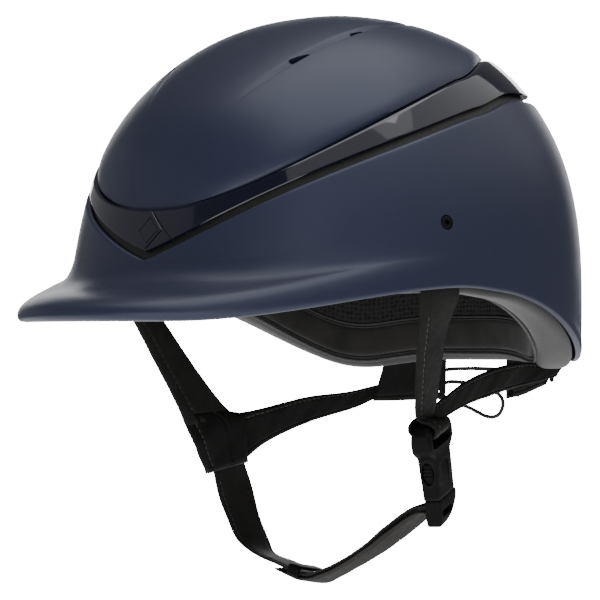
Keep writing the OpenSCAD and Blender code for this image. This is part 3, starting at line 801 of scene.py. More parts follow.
def make_band():
    a = ANGLES
    top, low, face = band_top(a), band_bottom(a), band_depth(a)
    rows = [dome(a, top, 2.6), dome(a, top, face + 0.75), dome(a, top - 0.25, face + 0.22),
            dome(a, top - 0.75, face)]
    rows += [dome(a, (top - 0.75) * (1 - t) + (low + 0.8) * t, face) for t in shares(0, 1, 14)[1:]]
    rows += [dome(a, low + 0.8, face), dome(a, low + 0.3, face + 0.2), dome(a, low, face + 0.75),
             dome(a, low, 2.6), dome(a, (top + low) / 2, 2.6)]
    band = grid("gloss_band", np.stack(rows, 1), close_rows=True, close_columns=True, sharp=28)
    cut(band, [badge_block("badge_recess", [(1.035, -0.5), (1.035, 3)]), seam_cutter()], 28)
    return finish_piece(band, GLOSS, ["trim_band"])


def on_band(x, z, lift):
    """Point on the front of the band at a distance from its middle, a height and a lift off its face."""
    x, z, lift = np.broadcast_arrays(x, z, lift)
    angle = np.zeros_like(x)
    depth = 0.6 - lift
    for _ in range(12):
        s = sine_at(angle, z, depth)
        c = np.sqrt(np.maximum(0, 1 - s * s)) ** FULLNESS
        angle = np.degrees(np.arcsin(spow(x / ((HALF_W - depth) * c), CORNER / 2)))
    return dome(angle % 360, z, depth)


def badge_block(name, levels, per_side=10):
    """A diamond on the band. levels are (scale, lift) pairs from its back outwards."""
    share = shares(0, 1, per_side)
    corners = np.array([(1, 0), (0, 1), (-1, 0), (0, -1)], float)
    outline = np.concatenate([
        c * (1 - share)[:, None] + d * share[:, None] for c, d in zip(corners, np.roll(corners, -1, 0))])
    x, z = outline.T * [[BADGE_HALF_W], [BADGE_HALF_H]]
    rows = np.stack([on_band(x * scale, BADGE_Z + z * scale, lift) for scale, lift in levels], 1)
    middle = np.stack([on_band(0.0, BADGE_Z, levels[0][1]), on_band(0.0, BADGE_Z, levels[-1][1])])
    return grid(name, rows, close_rows=True, poles=middle, sharp=20)


def seam_cutter():
    """The fine joint line that runs from the badge's top corner down to the band's lower edge."""
    t = shares(-0.02, 1.05, 24, True)
    x, z = 1.0 + 15.5 * t, BADGE_Z + BADGE_HALF_H - 0.5 - 13.0 * t
    rows = [on_band(x + dx, z + dz, lift) for dx, dz, lift in (
        (-0.14, -0.14, -0.35), (0.14, 0.14, -0.35), (0.2, 0.2, 0.5), (-0.2, -0.2, 0.5))]
    return grid("seam", np.stack(rows, 1), close_columns=True, caps=True)


def make_badge():
    badge = badge_block("plain_badge", [
        (1.0, -1.2), (1.0, 0.1), (0.985, 0.3), (0.95, 0.42), (0.76, 0.42), (0.745, 0.2), (0.70, 0.2),
        (0.685, 0.42), (0.3, 0.44)])
    return finish_piece(badge, GLOSS, ["band_badge"])


def make_gap_shade_sheet():
    """A black sheet in the gap under the band: painted shade, standing in for the shadow in that deep groove.
    """
    a = ANGLES
    low, high = shell_lip(a) - 1.5, band_bottom(a) + 1.5
    rows = [dome(a, low, 3.1), dome(a, low, 2.7), dome(a, high, 2.7), dome(a, high, 3.1)]
    gap_shade = grid("band_gap_painted_shade", np.stack(rows, 1), close_rows=True, close_columns=True)
    return finish_piece(gap_shade, BINDING)


make_band()
make_badge()
# A black sheet in the gap under the band, painted as the shade there.
make_gap_shade_sheet()
coat(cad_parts["vent_screens"], MESH)


# ---- Foam liner and the cover under its rim ----

def make_foam():
    a = ANGLES[::2]
    z = rim_z(a) + 2.2
    lat_out, lat_in = latitude(a, z, FOAM_OUTER), latitude(a, z, FOAM_INNER)
    rows = [at_latitude(a, lat_out + (90 - lat_out) * (1 - t), FOAM_OUTER)
            for t in shares(0, 1, 30, True)[1:]]
    rows += [at_latitude(a, lat_in + (90 - lat_in) * t, FOAM_INNER) for t in shares(0, 1, 30)]
    poles = np.array([[0, 0, CROWN_H - FOAM_OUTER], [0, 0, CROWN_H - FOAM_INNER]])
    foam = grid("foam_core", np.stack(rows, 1), close_rows=True, poles=poles)
    return finish_piece(foam, FOAM, ["foam_liner"])


COVER_SECTION = [(0, 1.8), (0, -0.4), (1.5, -1.8), (4.5, -2.3), (10.8, -2.2), (14.8, -0.8), (16.8, 1.8)]
PIPING_D = 1.7


def cover_edge(a):
    return 4.2 + 4.3 * (ease(away(a), 58, 66) - ease(away(a), 86, 94))


def make_rim_cover():
    a = ANGLES
    reach = (FOAM_INNER - cover_edge(a)) / COVER_SECTION[-1][0]
    line = smooth_line(COVER_SECTION, 26)
    swell = 1 + 0.5 * nape_part(a)
    rows = [dome(a, rim_z(a) + np.where(dz < 0, dz * swell, dz), cover_edge(a) + d * reach)
            for d, dz in line]
    rows += [dome(a, rim_z(a) + 2.0, FOAM_INNER - (FOAM_INNER - cover_edge(a)) * t)
             for t in shares(0, 1, 6)[1:]]
    cover = grid("rim_cover_twill", np.stack(rows, 1), close_rows=True, close_columns=True, sharp=60)
    finish_piece(cover, TWILL, ["rim_cover"])
    centre = dome(a, rim_z(a) - 0.1, FOAM_INNER + 0.1)
    piping = tube("rim_piping", centre, PIPING_D, closed=True)
    return finish_piece(piping, THREAD)


def tube(name, centre, d, closed=False, count=10, caps=True):
    """A round tube along a line of points."""
    centre = np.asarray(centre, float)
    ahead = np.roll(centre, -1, 0) - np.roll(centre, 1, 0) if closed else np.gradient(centre, axis=0)
    ahead = unit(ahead)
    side = unit(np.cross(ahead, np.array([0.11, 0.23, 0.97])))
    lift = np.cross(ahead, side)
    cos, sin = ring(count)[None, :, :2].transpose(2, 0, 1)[..., None]
    rows = centre[:, None] + d / 2 * (cos * side[:, None] + sin * lift[:, None])
    return grid(name, rows, close_rows=closed, close_columns=True, caps=not closed and caps, sharp=60)


make_foam()
make_rim_cover()


# ---- Soft lining: quilted pads, settled by a short cloth simulation ----

LINING_DEPTH = FOAM_INNER + 0.4
PAD_WALL = 3.4
HEADBAND_TOP, BROW_TOP, LINER_FOOT = 17.0, 17.0, 18.6
CLOTH_FRAMES, CLOTH_QUALITY, CLOTH_MASS = 20, 6, 0.3


def inflate(obj, held, pressure, cap):
    """A cloth simulation under pressure moves the points, by cap at most. held is 1 where it is sewn."""
    rest = np.array([v.co for v in obj.data.vertices])
    group = obj.vertex_groups.new(name="sewn")
    for index, weight in enumerate(held):
        if weight > 0.01:
            group.add([index], float(weight), "REPLACE")
    modifier = obj.modifiers.new("cloth", "CLOTH")
    cloth = modifier.settings
    cloth.quality = CLOTH_QUALITY
    cloth.mass = CLOTH_MASS
    cloth.use_pressure = True
    cloth.uniform_pressure_force = pressure
    cloth.effector_weights.gravity = 0
    cloth.vertex_group_mass = "sewn"
    modifier.point_cache.frame_start = 1
    modifier.point_cache.frame_end = CLOTH_FRAMES
    for number in range(1, CLOTH_FRAMES + 1):
        scene.frame_set(number)
    seen = obj.evaluated_get(bpy.context.evaluated_depsgraph_get())
    moved = np.array([v.co for v in seen.data.vertices]) - rest
    far = np.linalg.norm(moved, axis=1, keepdims=True)
    moved *= np.minimum(1, cap * MM / np.maximum(far, 1e-9))
    obj.modifiers.clear()
    obj.vertex_groups.clear()
    obj.data.vertices.foreach_set("co", (rest + moved).astype(np.float32).ravel())
    obj.data.update()
    scene.frame_set(1)


def lining_pad(name, a, low, high, channels, node, pressure=4.0, cap=1.6):
    """A quilted pad between two heights above the rim, sewn at its edges and along its channels."""
    t = np.linspace(0, 1, 17)
    inner = [(LINING_DEPTH + 0.1 + 0 * s, low + (high - low) * s) for s in t]
    crown = 0.35 + 0.65 * np.sqrt(np.maximum(0, 1 - (2 * t - 1) ** 4))
    face = [(LINING_DEPTH + 0.8 + (PAD_WALL - 1.8) * c, low + (high - low) * s) for s, c in zip(t, crown)]
    loop = inner[:1] + face + inner[::-1][:-1]
    rows = np.stack([dome(a, rim_z(a) + h, d) for d, h in loop], 1)
    pad = grid(name, rows, close_columns=True, caps=True, sharp=60)
    row, column = np.arange(len(a)), np.arange(len(loop))
    edge = (column <= 1) | (column >= len(face))
    channel = np.min([np.abs(a - c) for c in channels], 0) < abs(a[1] - a[0]) * 0.75
    held = edge[None] | (channel | (row < 2) | (row > len(a) - 3))[:, None]
    inflate(pad, held.astype(float).ravel(), pressure, cap)
    applied(pad, "SUBSURF", levels=1, render_levels=1)
    tidy_mesh(pad, 60)
    return finish_piece(pad, FABRIC, [node])


def make_lining():
    lining_pad("headband_pad", np.arange(50, 310.1, 1.25), 2.6, HEADBAND_TOP,
               (80, 115, 150, 210, 245, 280), "headband")
    lining_pad("brow_sweat_pad", np.arange(-44, 44.1, 1.25), 2.6, BROW_TOP, (-22, 0, 22), "brow_pad")
    for name, a, h in (
            ("headband_piping", np.arange(51, 309.1, 1.5), HEADBAND_TOP),
            ("brow_piping", np.arange(-43, 43.1, 1.5), BROW_TOP)):
        finish_piece(tube(name, dome(a, rim_z(a) + h + 0.2, LINING_DEPTH + 1.0), 1.6), BINDING)
    a = ANGLES[::2]
    z = rim_z(a) + LINER_FOOT
    depth, wall = FOAM_INNER + 0.8, 1.4
    low = latitude(a, z, depth)
    rows = [at_latitude(a, low + (90 - low) * (1 - t), depth) for t in shares(0, 1, 26, True)[1:]]
    rows += [at_latitude(a, low + (90 - low) * t, depth + wall) for t in shares(0, 1, 26)]
    poles = np.array([[0, 0, CROWN_H - depth], [0, 0, CROWN_H - depth - wall]])
    liner = grid("crown_mesh_liner", np.stack(rows, 1), close_rows=True, poles=poles, sharp=60)
    finish_piece(liner, MESH, ["crown_liner"])
    binding = tube("liner_binding", dome(a, z, depth + wall / 2), 2.0, closed=True)
    finish_piece(binding, BINDING)


make_lining()


# ---- Straps ----

def strap_data(front, back, wall, pitch=1.6, reach=(0, 0)):
    """The stations of a strap: its edges, lift and heading. reach carries its ends on into the next piece."""
    both = np.hstack([np.asarray(front, float), np.asarray(back, float)])
    first, last = both[0] - both[1], both[-1] - both[-2]
    if reach[0]:
        both = np.vstack([both[0] + first / np.linalg.norm(first[:3]) * reach[0], both])
    if reach[1]:
        both = np.vstack([both, both[-1] + last / np.linalg.norm(last[:3]) * reach[1]])
    length = np.linalg.norm(np.diff(both.reshape(len(both), 2, 3).mean(1), axis=0), axis=1).sum()
    both = smooth_line(both, max(8, int(length / pitch)))
    front, back = both[:, :3], both[:, 3:]
    ahead = unit(np.gradient((front + back) / 2, axis=0))
    lift = unit(np.cross(back - front, ahead))
    return {"front": front, "back": back, "lift": lift, "ahead": ahead, "wall": wall}


def half_wall(s, u, grooves):
    """Half the strap's thickness across its width, u from 0 at the front edge to 1 at the back."""
    half = s["wall"] / 2 * np.maximum(0, 1 - np.abs(2 * u - 1) ** 6) ** 0.5
    for g in grooves:
        half = half * (1 - 0.42 * np.exp(-(((u - g) / 0.022) ** 2)))
    return half


def strap_surface(s, u, side, grooves=()):
    """Points of one face of a strap along a line at a share of its width."""
    lift = s["lift"] * half_wall(s, np.array([u]), grooves)[0] * side
    return s["front"] * (1 - u) + s["back"] * u + lift + ripple(s, u)


def ripple(s, u):
    """Small waves in the leather."""
    n = np.arange(len(s["front"]))
    wave = np.sin(n * 0.31 + 4 * u) * 0.5 + np.sin(n * 0.83 + 9 * u) * 0.3 + np.sin(n * 0.17) * 0.6
    return s["lift"] * (wave * s.get("ripple", 0.12))[:, None]


def make_strap(name, s, grooves=(), material=None, nodes=(), body="helmet", finish=True):
    u = (1 - np.cos(np.linspace(0, math.pi, 29))) / 2
    u = np.unique(np.concatenate([u, *[g + np.array([-0.05, -0.025, 0, 0.025, 0.05]) for g in grooves]]))
    u = u[(u >= 0) & (u <= 1)]
    half = half_wall(s, u, grooves)
    n = len(s["front"])
    ends = np.minimum(np.arange(n), np.arange(n)[::-1]) + 0.15
    ends = np.sqrt(np.clip(ends / 1.1, 0, 1))
    faces = []
    for side in (1, -1):
        columns = [
            s["front"] * (1 - v) + s["back"] * v + s["lift"] * (h * side * ends)[:, None] + ripple(s, v)
            for v, h in zip(u, half)]
        faces.append(np.stack(columns, 1))
    rows = np.concatenate([faces[0], faces[1][:, -2:0:-1]], 1)
    obj = grid(name, rows, close_columns=True, caps=True, sharp=60)
    return finish_piece(obj, material or LEATHER, nodes, body) if finish else obj


def stitches(name, line, lift, pitch=3.0, length=2.1, d=0.55, body="helmet"):
    """A row of raised stitches along a line on a surface."""
    run = np.concatenate([[0], np.cumsum(np.linalg.norm(np.diff(line, axis=0), axis=1))])
    made = []
    for start in np.arange(pitch, run[-1] - pitch, pitch):
        at = start + np.array([0, 0.12, 0.5, 0.88, 1.0]) * length
        points = np.stack([np.interp(at, run, c) for c in line.T], 1)
        up = np.stack([np.interp(at, run, c) for c in lift.T], 1)
        rise = np.array([-0.25, 0.1, 0.3, 0.1, -0.25])[:, None] * d
        made.append(tube("stitch", points + up * rise, d, count=6))
    obj = join(name, made)
    return finish_piece(obj, THREAD, body=body)


def stitch_face(name, s, u, side, part=slice(None)):
    """Stitches along a line at a share of the strap's width, on its outer (1) or inner (-1) face."""
    face = "outer" if side > 0 else "inner"
    stitches(f"{name}_{face}", strap_surface(s, u, side, (u,))[part], (s["lift"] * side)[part])


STRAP_WALL = 3.0
STRAP_TOP = (38, 28, 16, 5, 0)
INNER_FRONT = [dome(71.5, z, 4).tolist() for z in STRAP_TOP]
INNER_BACK = [dome(80.5, z, 4).tolist() for z in STRAP_TOP]
LEFT_FRONT = INNER_FRONT + [
    [102, -47.5, -6], [97, -42.5, -20], [91, -38, -34], [83.5, -31, -50], [79, -25.5, -61]]
LEFT_BACK = INNER_BACK + [
    [104.5, -25, -6], [95.5, -22.5, -20], [88.5, -18.5, -34], [79, -11.5, -50], [72.5, -7, -61]]
RIGHT_FRONT = INNER_FRONT + [
    [101.3, -47.8, -6], [94.3, -44.3, -18], [85.3, -38.3, -38], [77.8, -33.3, -55], [75.3, -31.8, -61]]
RIGHT_BACK = INNER_BACK + [
    [103.3, -25.3, -6], [94.8, -23.3, -18], [85.8, -13.3, -38], [78.3, -3.3, -55], [75.3, 1.2, -60.5]]
HEM = 0.24
BUCKLE_AT = np.array([71.7, -2.5, -97.0])
PRONG_X = 7.45
BUCKLE_UP = unit(np.array([2.0, -7.0, 26.0]))
BUCKLE_FWD = unit(np.cross([0.927, 0.375, 0], BUCKLE_UP))
BUCKLE_AXES = np.stack([BUCKLE_FWD, np.cross(BUCKLE_UP, BUCKLE_FWD), BUCKLE_UP])
# The near strap's edges go round the buckle's bar and end on its inner side: points in the buckle's frame
FOLD_FRONT = [
    (11, 3.6, 37.4), (9.8, 6.2, 34), (9.3, 4.4, 30.4), (9.2, 0, 29.2), (9.2, -4.8, 30.4),
    (9.5, -7.4, 34), (9.8, -5.4, 38)]
FOLD_BACK = [
    (-7.6, 4.6, 34), (-9, 6.2, 32.6), (-9.3, 4.4, 30.4), (-9.2, 0, 29.2), (-9.2, -4.8, 30.4),
    (-9.5, -7.4, 34), (-9.8, -5.4, 38)]


def make_front_straps():
    loop_front, loop_back = (
        placed(fold, BUCKLE_AT, BUCKLE_AXES).tolist() for fold in (FOLD_FRONT, FOLD_BACK))
    left = strap_data(LEFT_FRONT + loop_front, LEFT_BACK + loop_back, STRAP_WALL - 0.5)
    make_strap("front_strap_near", left, (HEM, 0.93), nodes=["front_strap_left"])
    right = strap_data(mirrored(RIGHT_FRONT), mirrored(RIGHT_BACK), STRAP_WALL - 0.3, reach=(0, 7))
    # The far strap gets the lighter leather copy: painted fill light on a shaded strap.
    make_strap("front_strap_far", right, (HEM, 0.93), PAINTED_FILL_LEATHER, ["front_strap_right"])
    for name, s in (("near", left), ("far", right)):
        below = slice(int(len(s["front"]) * 0.36), None)
        for side in (1, -1):
            stitch_face(f"front_strap_{name}_stitching", s, HEM, side, below)


PATCH_FRONT = [
    [-75.2, -31.6, -61.4], [-73.1, -29.5, -68.5], [-71.1, -26.6, -76], [-70.3, -23.6, -83.5],
    [-69.3, -19.8, -90.5]]
PATCH_BACK = [
    [-75.2, 1.4, -60.9], [-72.7, 5.5, -61.5], [-70.8, 7.5, -64], [-69.9, 7.9, -75], [-69.3, 7.7, -85.5]]


def make_patch():
    s = strap_data(PATCH_FRONT, PATCH_BACK, STRAP_WALL + 0.3, 1.0)
    s["ripple"] = 0.18
    make_strap("strap_junction", s, (0.16, 0.62), nodes=["junction_patch"])
    for side, face in ((1, "outer"), (-1, "inner")):
        stitch_face("junction_stitching", s, 0.16, side)
        edges = ([s[edge][-1] + s["lift"][-1] * side * 0.9 + s["ahead"][-1] * k for k in (-2.2, 0.6)]
                 for edge in ("front", "back"))
        make_strap(f"junction_hem_{face}", strap_data(*edges, 1.6, 0.5), material=BINDING)


REAR_LEFT_TOP = [[72.6, -4, -53.5], [71, 14, -45.5], [66, 36, -40], [60.5, 64, -36], [61, 89.5, -36.5]]
REAR_LEFT_LOW = [[73.2, -1, -61.5], [70, 15, -56.5], [66, 36, -52.5], [59.5, 62, -48.5], [61, 84.5, -44.5]]
REAR_RIGHT_TOP = [
    [-72.5, 7.6, -61], [-70, 18, -59.3], [-66, 46, -53.8], [-62.5, 72, -51.4], [-61.8, 90, -48.6]]
REAR_RIGHT_LOW = [
    [-70.5, 7.6, -84.5], [-69.5, 22, -76], [-65.5, 48, -66.6], [-62, 74, -60.5], [-61.8, 88, -56.5]]
TAB_LEFT_TOP = [[60, 91, -36], [48, 96.2, -33], [34, 99.6, -31], [21, 101.8, -31]]
TAB_LEFT_LOW = [[60, 86, -46.8], [48, 93.5, -48.8], [34, 98.5, -52.4], [21, 101, -54.5]]
TAB_RIGHT_TOP = [[-56.5, 93.4, -36], [-48, 96.6, -33], [-34, 99.6, -31], [-21, 101.8, -31]]
TAB_RIGHT_LOW = [[-60.5, 89, -56.5], [-48, 95, -56.2], [-34, 98.5, -55.5], [-21, 101, -55]]
EYELET_X, EYELET_Y, EYELET_LEVELS = 26.0, 101.6, (-40, -45.5, -51)
EYELET_TURN, EYELET_TILT, EYELET_HOLE_R = 14, 86, 2.05


def make_rear_straps():
    for side, top, low, tab_top, tab_low in (
            ("left", REAR_LEFT_TOP, REAR_LEFT_LOW, TAB_LEFT_TOP, TAB_LEFT_LOW),
            ("right", REAR_RIGHT_TOP, REAR_RIGHT_LOW, TAB_RIGHT_TOP, TAB_RIGHT_LOW)):
        s = strap_data(top, low, STRAP_WALL - 0.6, reach=(7, 9))
        s["ripple"] = 0.3
        make_strap(f"rear_strap_{side}_leather", s, (0.14, 0.86), nodes=[f"rear_strap_{side}"])
        t = strap_data(tab_top, tab_low, 2.4, 1.2)
        tab = make_strap(f"nape_tab_{side}_leather", t, (0.12, 0.88), nodes=[f"nape_tab_{side}"])
        punch = [(0, -6), (EYELET_HOLE_R, -6), (EYELET_HOLE_R, 6), (0, 6)]
        sign = 1 if side == "left" else -1
        cut(tab, [lathe(punch, "punch", *eyelet_frame(z), sign, 24) for z in EYELET_LEVELS], 60)
        for face in (1, -1):
            stitch_face(f"rear_strap_{side}_stitching", s, 0.14, face)


def eyelet_frame(z):
    """Frame of an eyelet on the wearer's left: outward axis to the back."""
    turn, tilt = math.radians(EYELET_TURN), math.radians(EYELET_TILT)
    outward = [math.sin(turn) * math.sin(tilt), math.cos(turn) * math.sin(tilt), math.cos(tilt)]
    return np.array([EYELET_X, EYELET_Y, z]), facing(outward)


RING_PROFILE = [
    (1.1, -1.4), (1.9, -1.4), (1.9, 1.45), (2.5, 1.5), (2.65, 1.8), (2.45, 2.15), (2.0, 2.25), (1.3, 2.0),
    (1.1, 1.5)]
RIVET_PROFILE = [(0, 0), (2.5, 0), (2.5, 0.35), (2.2, 0.75), (1.5, 1.0), (0.8, 1.1), (0, 1.12)]
RIVET_Z, RIVET_TILT = -43.4, 0.07
RIVETS = ((42, 101.8, 19.5), (53, 98.2, 26))  # x, y and the turn of the outward axis in degrees


def make_eyelets():
    rings = [lathe(RING_PROFILE, "ring", *eyelet_frame(z), side, 24)
             for side in (1, -1) for z in EYELET_LEVELS]
    finish_piece(join("lace_eyelet_rings", rings), PLASTIC, ["lace_eyelets"])
    heads = []
    for side in (1, -1):
        for x, y, turn in RIVETS:
            axes = facing([math.sin(math.radians(turn)), math.cos(math.radians(turn)), RIVET_TILT])
            heads.append(lathe(RIVET_PROFILE, "rivet", np.array([x, y, RIVET_Z]), axes, side, 24))
    finish_piece(join("nape_rivet_heads", heads), PLASTIC, ["nape_rivets"])


make_front_straps()
make_patch()
make_rear_straps()
make_eyelets()


# ---- Screws and nuts ----

def make_fasteners():
    place = surface_frame(SCREW_ANGLE, SCREW_Z)
    r = SCREW_HEAD_D / 2
    head_profile = [
        (0, -1.9), (r - 0.2, -1.9), (r, -1.6), (r, -0.5), (r - 0.25, -0.1), (r - 0.9, 0.2), (r - 1.7, 0.36),
        (1.0, 0.44), (0, 0.45)]
    shank_profile = [(0, -11.5), (1.6, -11.5), (2.0, -11), (2.0, -1.7), (0, -1.7)]
    screws = []
    for side in (1, -1):
        head = lathe(head_profile, "head", *place, side, 40, 50)
        cut(head, [lathe([(0, -0.8), (1.25, -0.8), (1.25, 2), (0, 2)], "socket", *place, side, 6)])
        shank = lathe(shank_profile, "shank", *place, side, 24)
        screws += [bevel(head, 0.12), shank]
    finish_piece(join("anchor_screw_heads", screws), PLASTIC, ["anchor_screws"])
    coat(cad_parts["anchor_nuts"], STEEL)


make_fasteners()


# ---- Buckle and chin strap ----

OUTLINE_POINTS = 48


def superellipse(width, thick, power=5.0, count=OUTLINE_POINTS):
    """Outline of a rounded bar section, squarer with a higher power."""
    return spow(ring(count)[:, :2], 2 / power) * [width / 2, thick / 2]


def moulding(name, levels, power=5.0, spacing=1.0):
    """A closed solid in the buckle's frame. levels are (height, width, thickness, forward shift)."""
    levels = smooth_levels(levels, spacing)
    rows = np.stack([
        np.column_stack([superellipse(w, t, power) + [shift, 0], np.full(OUTLINE_POINTS, z)])
        for z, w, t, shift in levels], 0)
    return grid(name, placed(rows, BUCKLE_AT, BUCKLE_AXES), close_columns=True, caps=True, sharp=40)


def smooth_levels(levels, spacing):
    """The same levels at even heights, about one spacing apart."""
    levels = np.asarray(levels, float)
    count = max(3, int(abs(levels[-1, 0] - levels[0, 0]) / spacing))
    z = np.linspace(levels[0, 0], levels[-1, 0], count)
    return np.stack([np.interp(z, levels[:, 0], c) for c in levels.T], 1)


def block(name, low, high, radius=0.0, axis=1):
    """A cutter in the buckle's frame, a rounded bar that runs along one axis."""
    low, high = np.array(low, float), np.array(high, float)
    middle, size = (low + high) / 2, high - low
    others = [k for k in range(3) if k != axis]
    outline = superellipse(size[others[0]], size[others[1]], 2 + 6 * (1 - radius), 40)
    rows = []
    for end in (low[axis], high[axis]):
        points = np.zeros((len(outline), 3))
        points[:, others[0]] = outline[:, 0] + middle[others[0]]
        points[:, others[1]] = outline[:, 1] + middle[others[1]]
        points[:, axis] = end
        rows.append(points)
    return grid(name, placed(np.stack(rows, 0), BUCKLE_AT, BUCKLE_AXES), close_columns=True, caps=True)


def make_buckle():
    socket = moulding("socket", [
        (0.2, 21.2, 7.8, 0), (1, 22.2, 8.2, 0), (6, 21.8, 8.4, 0), (11, 21.2, 9.2, 0), (17, 20.6, 9.6, 0),
        (20.5, 21.8, 9.4, 0), (22.5, 27.4, 9.6, 0), (25, 32, 10, 0), (29, 32.6, 10, 0), (32.5, 31.4, 9.4, 0),
        (34.8, 27, 7.2, 0), (36, 22, 5, 0)], 9.0, 0.8)
    cut(socket, [
        block("cavity", (-9.6, -2.6, -2), (9.6, 2.6, 21), 0.2, 2),
        block("side_window", (-18, -3.1, 7.4), (18, 3.1, 18.6), 1.0, 0),
        block("loop_window", (-11.6, -8, 24.6), (11.6, 8, 32.6), 0.5, 1),
        block("face_recess", (-4.5, 4.1, 5), (4.5, 8, 17), 0.6, 1),
    ], 40)
    bevel(socket, 0.45, 3, 40)
    finish_piece(socket, PLASTIC, ["buckle_socket"])

    plug = moulding("plug", [
        (-12.4, 5, 6, 8.4), (-11.6, 10, 7.2, 6.2), (-9.6, 16, 8, 3.2), (-6.6, 20.4, 8.2, 1),
        (-4, 23, 8.2, -0.4), (-1.4, 24, 8.2, -0.9), (-0.3, 23, 7.8, -0.8)], 9.0, 0.8)
    tongue = moulding("tongue", [(-1.0, 6, 4.4, 0), (16.5, 6, 4.4, 0), (18, 4.4, 3.4, 0)], 6, 1.0)
    pockets = []
    for side in (-1, 1):
        x = side * PRONG_X
        pockets.append(block("pocket", (x - 2.7, -2.55, -4.4), (x + 2.7, 2.55, 4), 0.15, 1))
    cut(plug, [block("strap_slot", (-4.2, -9, -8.4), (8.2, 9, -5.2), 0.5, 1), *pockets], 40)
    bevel(plug, 0.45, 3, 40)
    finish_piece(join("buckle_plug_body", [plug, tongue]), PLASTIC, ["buckle_plug"], "plug")
    for side, name in ((1, "front"), (-1, "rear")):
        x = side * PRONG_X
        arm = moulding("arm", [
            (-3.4, 3.2, 4.2, x), (-1.5, 4.0, 4.2, x), (1, 2.9, 4.2, x + side * 0.5),
            (6.5, 2.5, 4.2, x + side * 0.5), (8.2, 3.6, 4.8, x + side * 0.4), (13, 4.6, 5.2, x + side * 0.9),
            (17, 3.8, 4.8, x + side * 0.5), (18.2, 2.2, 4, x)], 4.5, 0.6)
        grip = x + side * 3.1
        grips = [block("grip", (grip - 0.45, -1.9, z), (grip + 0.45, 1.9, z + 0.7), 0.6, 1)
                 for z in (11.2, 12.9, 14.6)]
        ridge = join(f"buckle_prong_{name}_arm", [bevel(arm, 0.3), *grips])
        finish_piece(ridge, PLASTIC, [f"buckle_prong_{name}"], f"prong_{name}")


CHIN_FRONT = [
    [-70, -14, -92], [-65, -15.5, -102.5], [-57, -17, -113.5], [-47.5, -20, -122.2],
    [-34.5, -22.5, -127.5], [-15, -26.5, -131.6], [9, -30.9, -135.8]]
CHIN_BACK = [
    [-70, 6.5, -86.2], [-63.5, 6, -98.5], [-55.5, 3, -112], [-45, -0.5, -123.2],
    [-34, -5.8, -129.8], [-14, -10, -132.9], [9, -15.2, -138.3]]
END_FRONT = [[19, -30, -134], [30, -27, -129], [42, -22.5, -121], [52, -19, -112.4], [64.5, -15, -103.6]]
END_BACK = [[19, -14, -135.2], [31, -11, -128.8], [43, -6, -120.8], [53, -2, -112.4], [62.5, 0.5, -103.2]]
PLUG_ENTRY = [(7.5, -4.5, -3.6), (7, -2, -3.2)]
SPARE_END_X = -15.0


def make_chin_strap():
    """The chin strap enters the plug. Its spare length comes back under it and out past the slider."""
    entry_front, entry_back = (
        placed([[side * x, y, z] for x, y, z in PLUG_ENTRY], BUCKLE_AT, BUCKLE_AXES).tolist()
        for side in (1, -1))
    s = strap_data(CHIN_FRONT + END_FRONT + entry_front, CHIN_BACK + END_BACK + entry_back, 1.8, reach=(8, 0))
    s["ripple"] = 0.1
    down = -s["lift"] * lift_sign(s)
    outer = make_strap("strap", s, (0.12, 0.88), finish=False)
    x = s["front"][:, 0]
    kept = x > SPARE_END_X
    spare = {key: value[kept] for key, value in s.items() if isinstance(value, np.ndarray)}
    gap = 1.9 + 1.2 * ease(x[kept], 38, 66) + 0.5 * ease(-x[kept], -14, 0)
    for key in ("front", "back"):
        spare[key] = spare[key] + down[kept] * gap[:, None]
    spare["wall"], spare["ripple"] = 1.6, 0.2
    inner = make_strap("spare", spare, (0.12, 0.88), finish=False)
    strap = join("chin_strap_leather", [outer, inner])
    # The chin strap gets the lighter leather copy: painted fill light on a shaded strap.
    finish_piece(strap, PAINTED_FILL_LEATHER, ["chin_strap", "chin_strap_buckle_end"], None)
    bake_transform(strap)
    below = slice(6, int(len(x) * 0.5))
    for side in (1, -1):
        stitch_face("chin_strap_stitching", s, 0.12, side, below)


def lift_sign(s):
    """1 if the strap's lift points up under the chin, and -1 if it points down."""
    return 1.0 if s["lift"][len(s["lift"]) // 2, 2] > 0 else -1.0


def slider_section(along, width, thick, power):
    return np.column_stack([np.full(OUTLINE_POINTS, along), superellipse(width, thick, power)])


def make_slider():
    front, back = np.array(CHIN_FRONT[-1], float), np.array(CHIN_BACK[-1], float)
    middle = (front + back) / 2
    ahead = unit(middle - (np.array(CHIN_FRONT[4]) + np.array(CHIN_BACK[4])) / 2)
    across = unit(back - front)
    axes = np.stack([ahead, across, np.cross(across, ahead)])
    span, thick, length = np.linalg.norm(back - front), 3.0, 9.0
    start = middle - ahead * (length + 1)
    x = smooth_line([(0, 0), (length, 0)], 12)[:, 0]
    swell = 1 - 0.12 * np.abs(2 * x / length - 1) ** 3
    rows = np.stack([
        slider_section(v, (span + 4.6) * (0.985 + 0.015 * w), (thick + 4.6) * w, 5.0)
        for v, w in zip(x, swell)])
    body = grid("slider", placed(rows, start, axes), close_columns=True, caps=True, sharp=40)
    hole = np.stack([slider_section(v, span + 1.0, thick + 1.0, 8) for v in (-3, length + 3)])
    cut(body, [grid("hole", placed(hole, start, axes), close_columns=True, caps=True)], 40)
    bevel(body, 0.4, 3, 40)
    finish_piece(body, PLASTIC, ["strap_slider"], "slider")


make_buckle()
make_chin_strap()
make_slider()


# ---- Floor, backdrop and lights ----

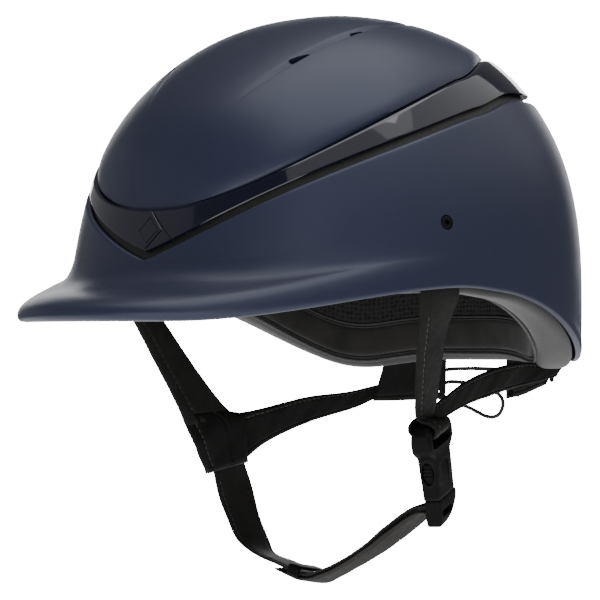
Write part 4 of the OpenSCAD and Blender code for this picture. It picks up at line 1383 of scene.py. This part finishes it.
FLOOR_Z = -0.25
FLOOR_R, FLOOR_RINGS, FLOOR_SIDES = 1.0, (0.25, 0.5, 0.75, 1.0), 96
AMBIENT, BACKDROP = 0.13, 20.0
BOUNCE = 0.7
SOFTBOXES = [  # name, azimuth, elevation, distance, width, height, watts
    ("left_softbox", -66, 12, 1.5, 3.0, 0.75, 1.2),
    ("right_softbox", 63, 43, 1.5, 1.9, 1.3, 4.7),
    ("rear_softbox", 139, 43, 1.5, 1.9, 1.3, 6.0),
    ("top_softbox", 60, 86, 1.4, 1.5, 1.5, 16),
    ("back_softbox", 222, 12, 1.6, 1.6, 0.6, 10),
    ("low_fill", 22, -2, 1.05, 1.2, 0.36, 3.5),
]


def make_floor():
    """A pale disc of rings round a middle point."""
    level, k = [0, 0, FLOOR_Z / MM], len(FLOOR_RINGS)
    rows = np.stack([ring(FLOOR_SIDES) * FLOOR_R * t / MM + level for t in FLOOR_RINGS], 1)
    points = np.vstack([rows.reshape(-1, 3), level])
    spokes = [(i * k, (i + 1) % FLOOR_SIDES * k) for i in range(FLOOR_SIDES)]
    faces = [[a + j, b + j, b + j + 1, a + j + 1] for a, b in spokes for j in range(k - 1)]
    faces += [[len(points) - 1, b, a] for a, b in spokes]
    floor = new_object("floor", points, faces)
    s = Surface("pale_floor")
    s.colour(s.noise(3, 2), (0.84, 0.84, 0.84), (0.88, 0.88, 0.88))
    s.roughness(s.noise(40, 2), 0.6, 0.7)
    s.set(Emission_Color=(1, 1, 1, 1), Emission_Strength=BOUNCE)
    floor.data.materials.append(s.material)


def soft_light(name, azimuth, elevation, distance, width, height, watts):
    """A rectangular softbox aimed at the helmet."""
    data = bpy.data.lights.new(name, "AREA")
    data.shape = "RECTANGLE"
    data.size, data.size_y = width, height
    data.energy = watts
    aimed(linked(name, data), azimuth, elevation, distance)


def make_studio():
    world = bpy.data.worlds.new("studio")
    scene.world = world
    world.use_nodes = True
    nodes, links = world.node_tree.nodes, world.node_tree.links
    background = nodes["Background"]
    background.inputs["Color"].default_value = (1, 1, 1, 1)
    ray = nodes.new("ShaderNodeLightPath")
    level = nodes.new("ShaderNodeMapRange")
    level.inputs["To Min"].default_value = AMBIENT
    level.inputs["To Max"].default_value = BACKDROP
    links.new(ray.outputs["Is Camera Ray"], level.inputs["Value"])
    links.new(level.outputs["Result"], background.inputs["Strength"])
    for softbox in SOFTBOXES:
        soft_light(*softbox)


make_floor()
make_studio()
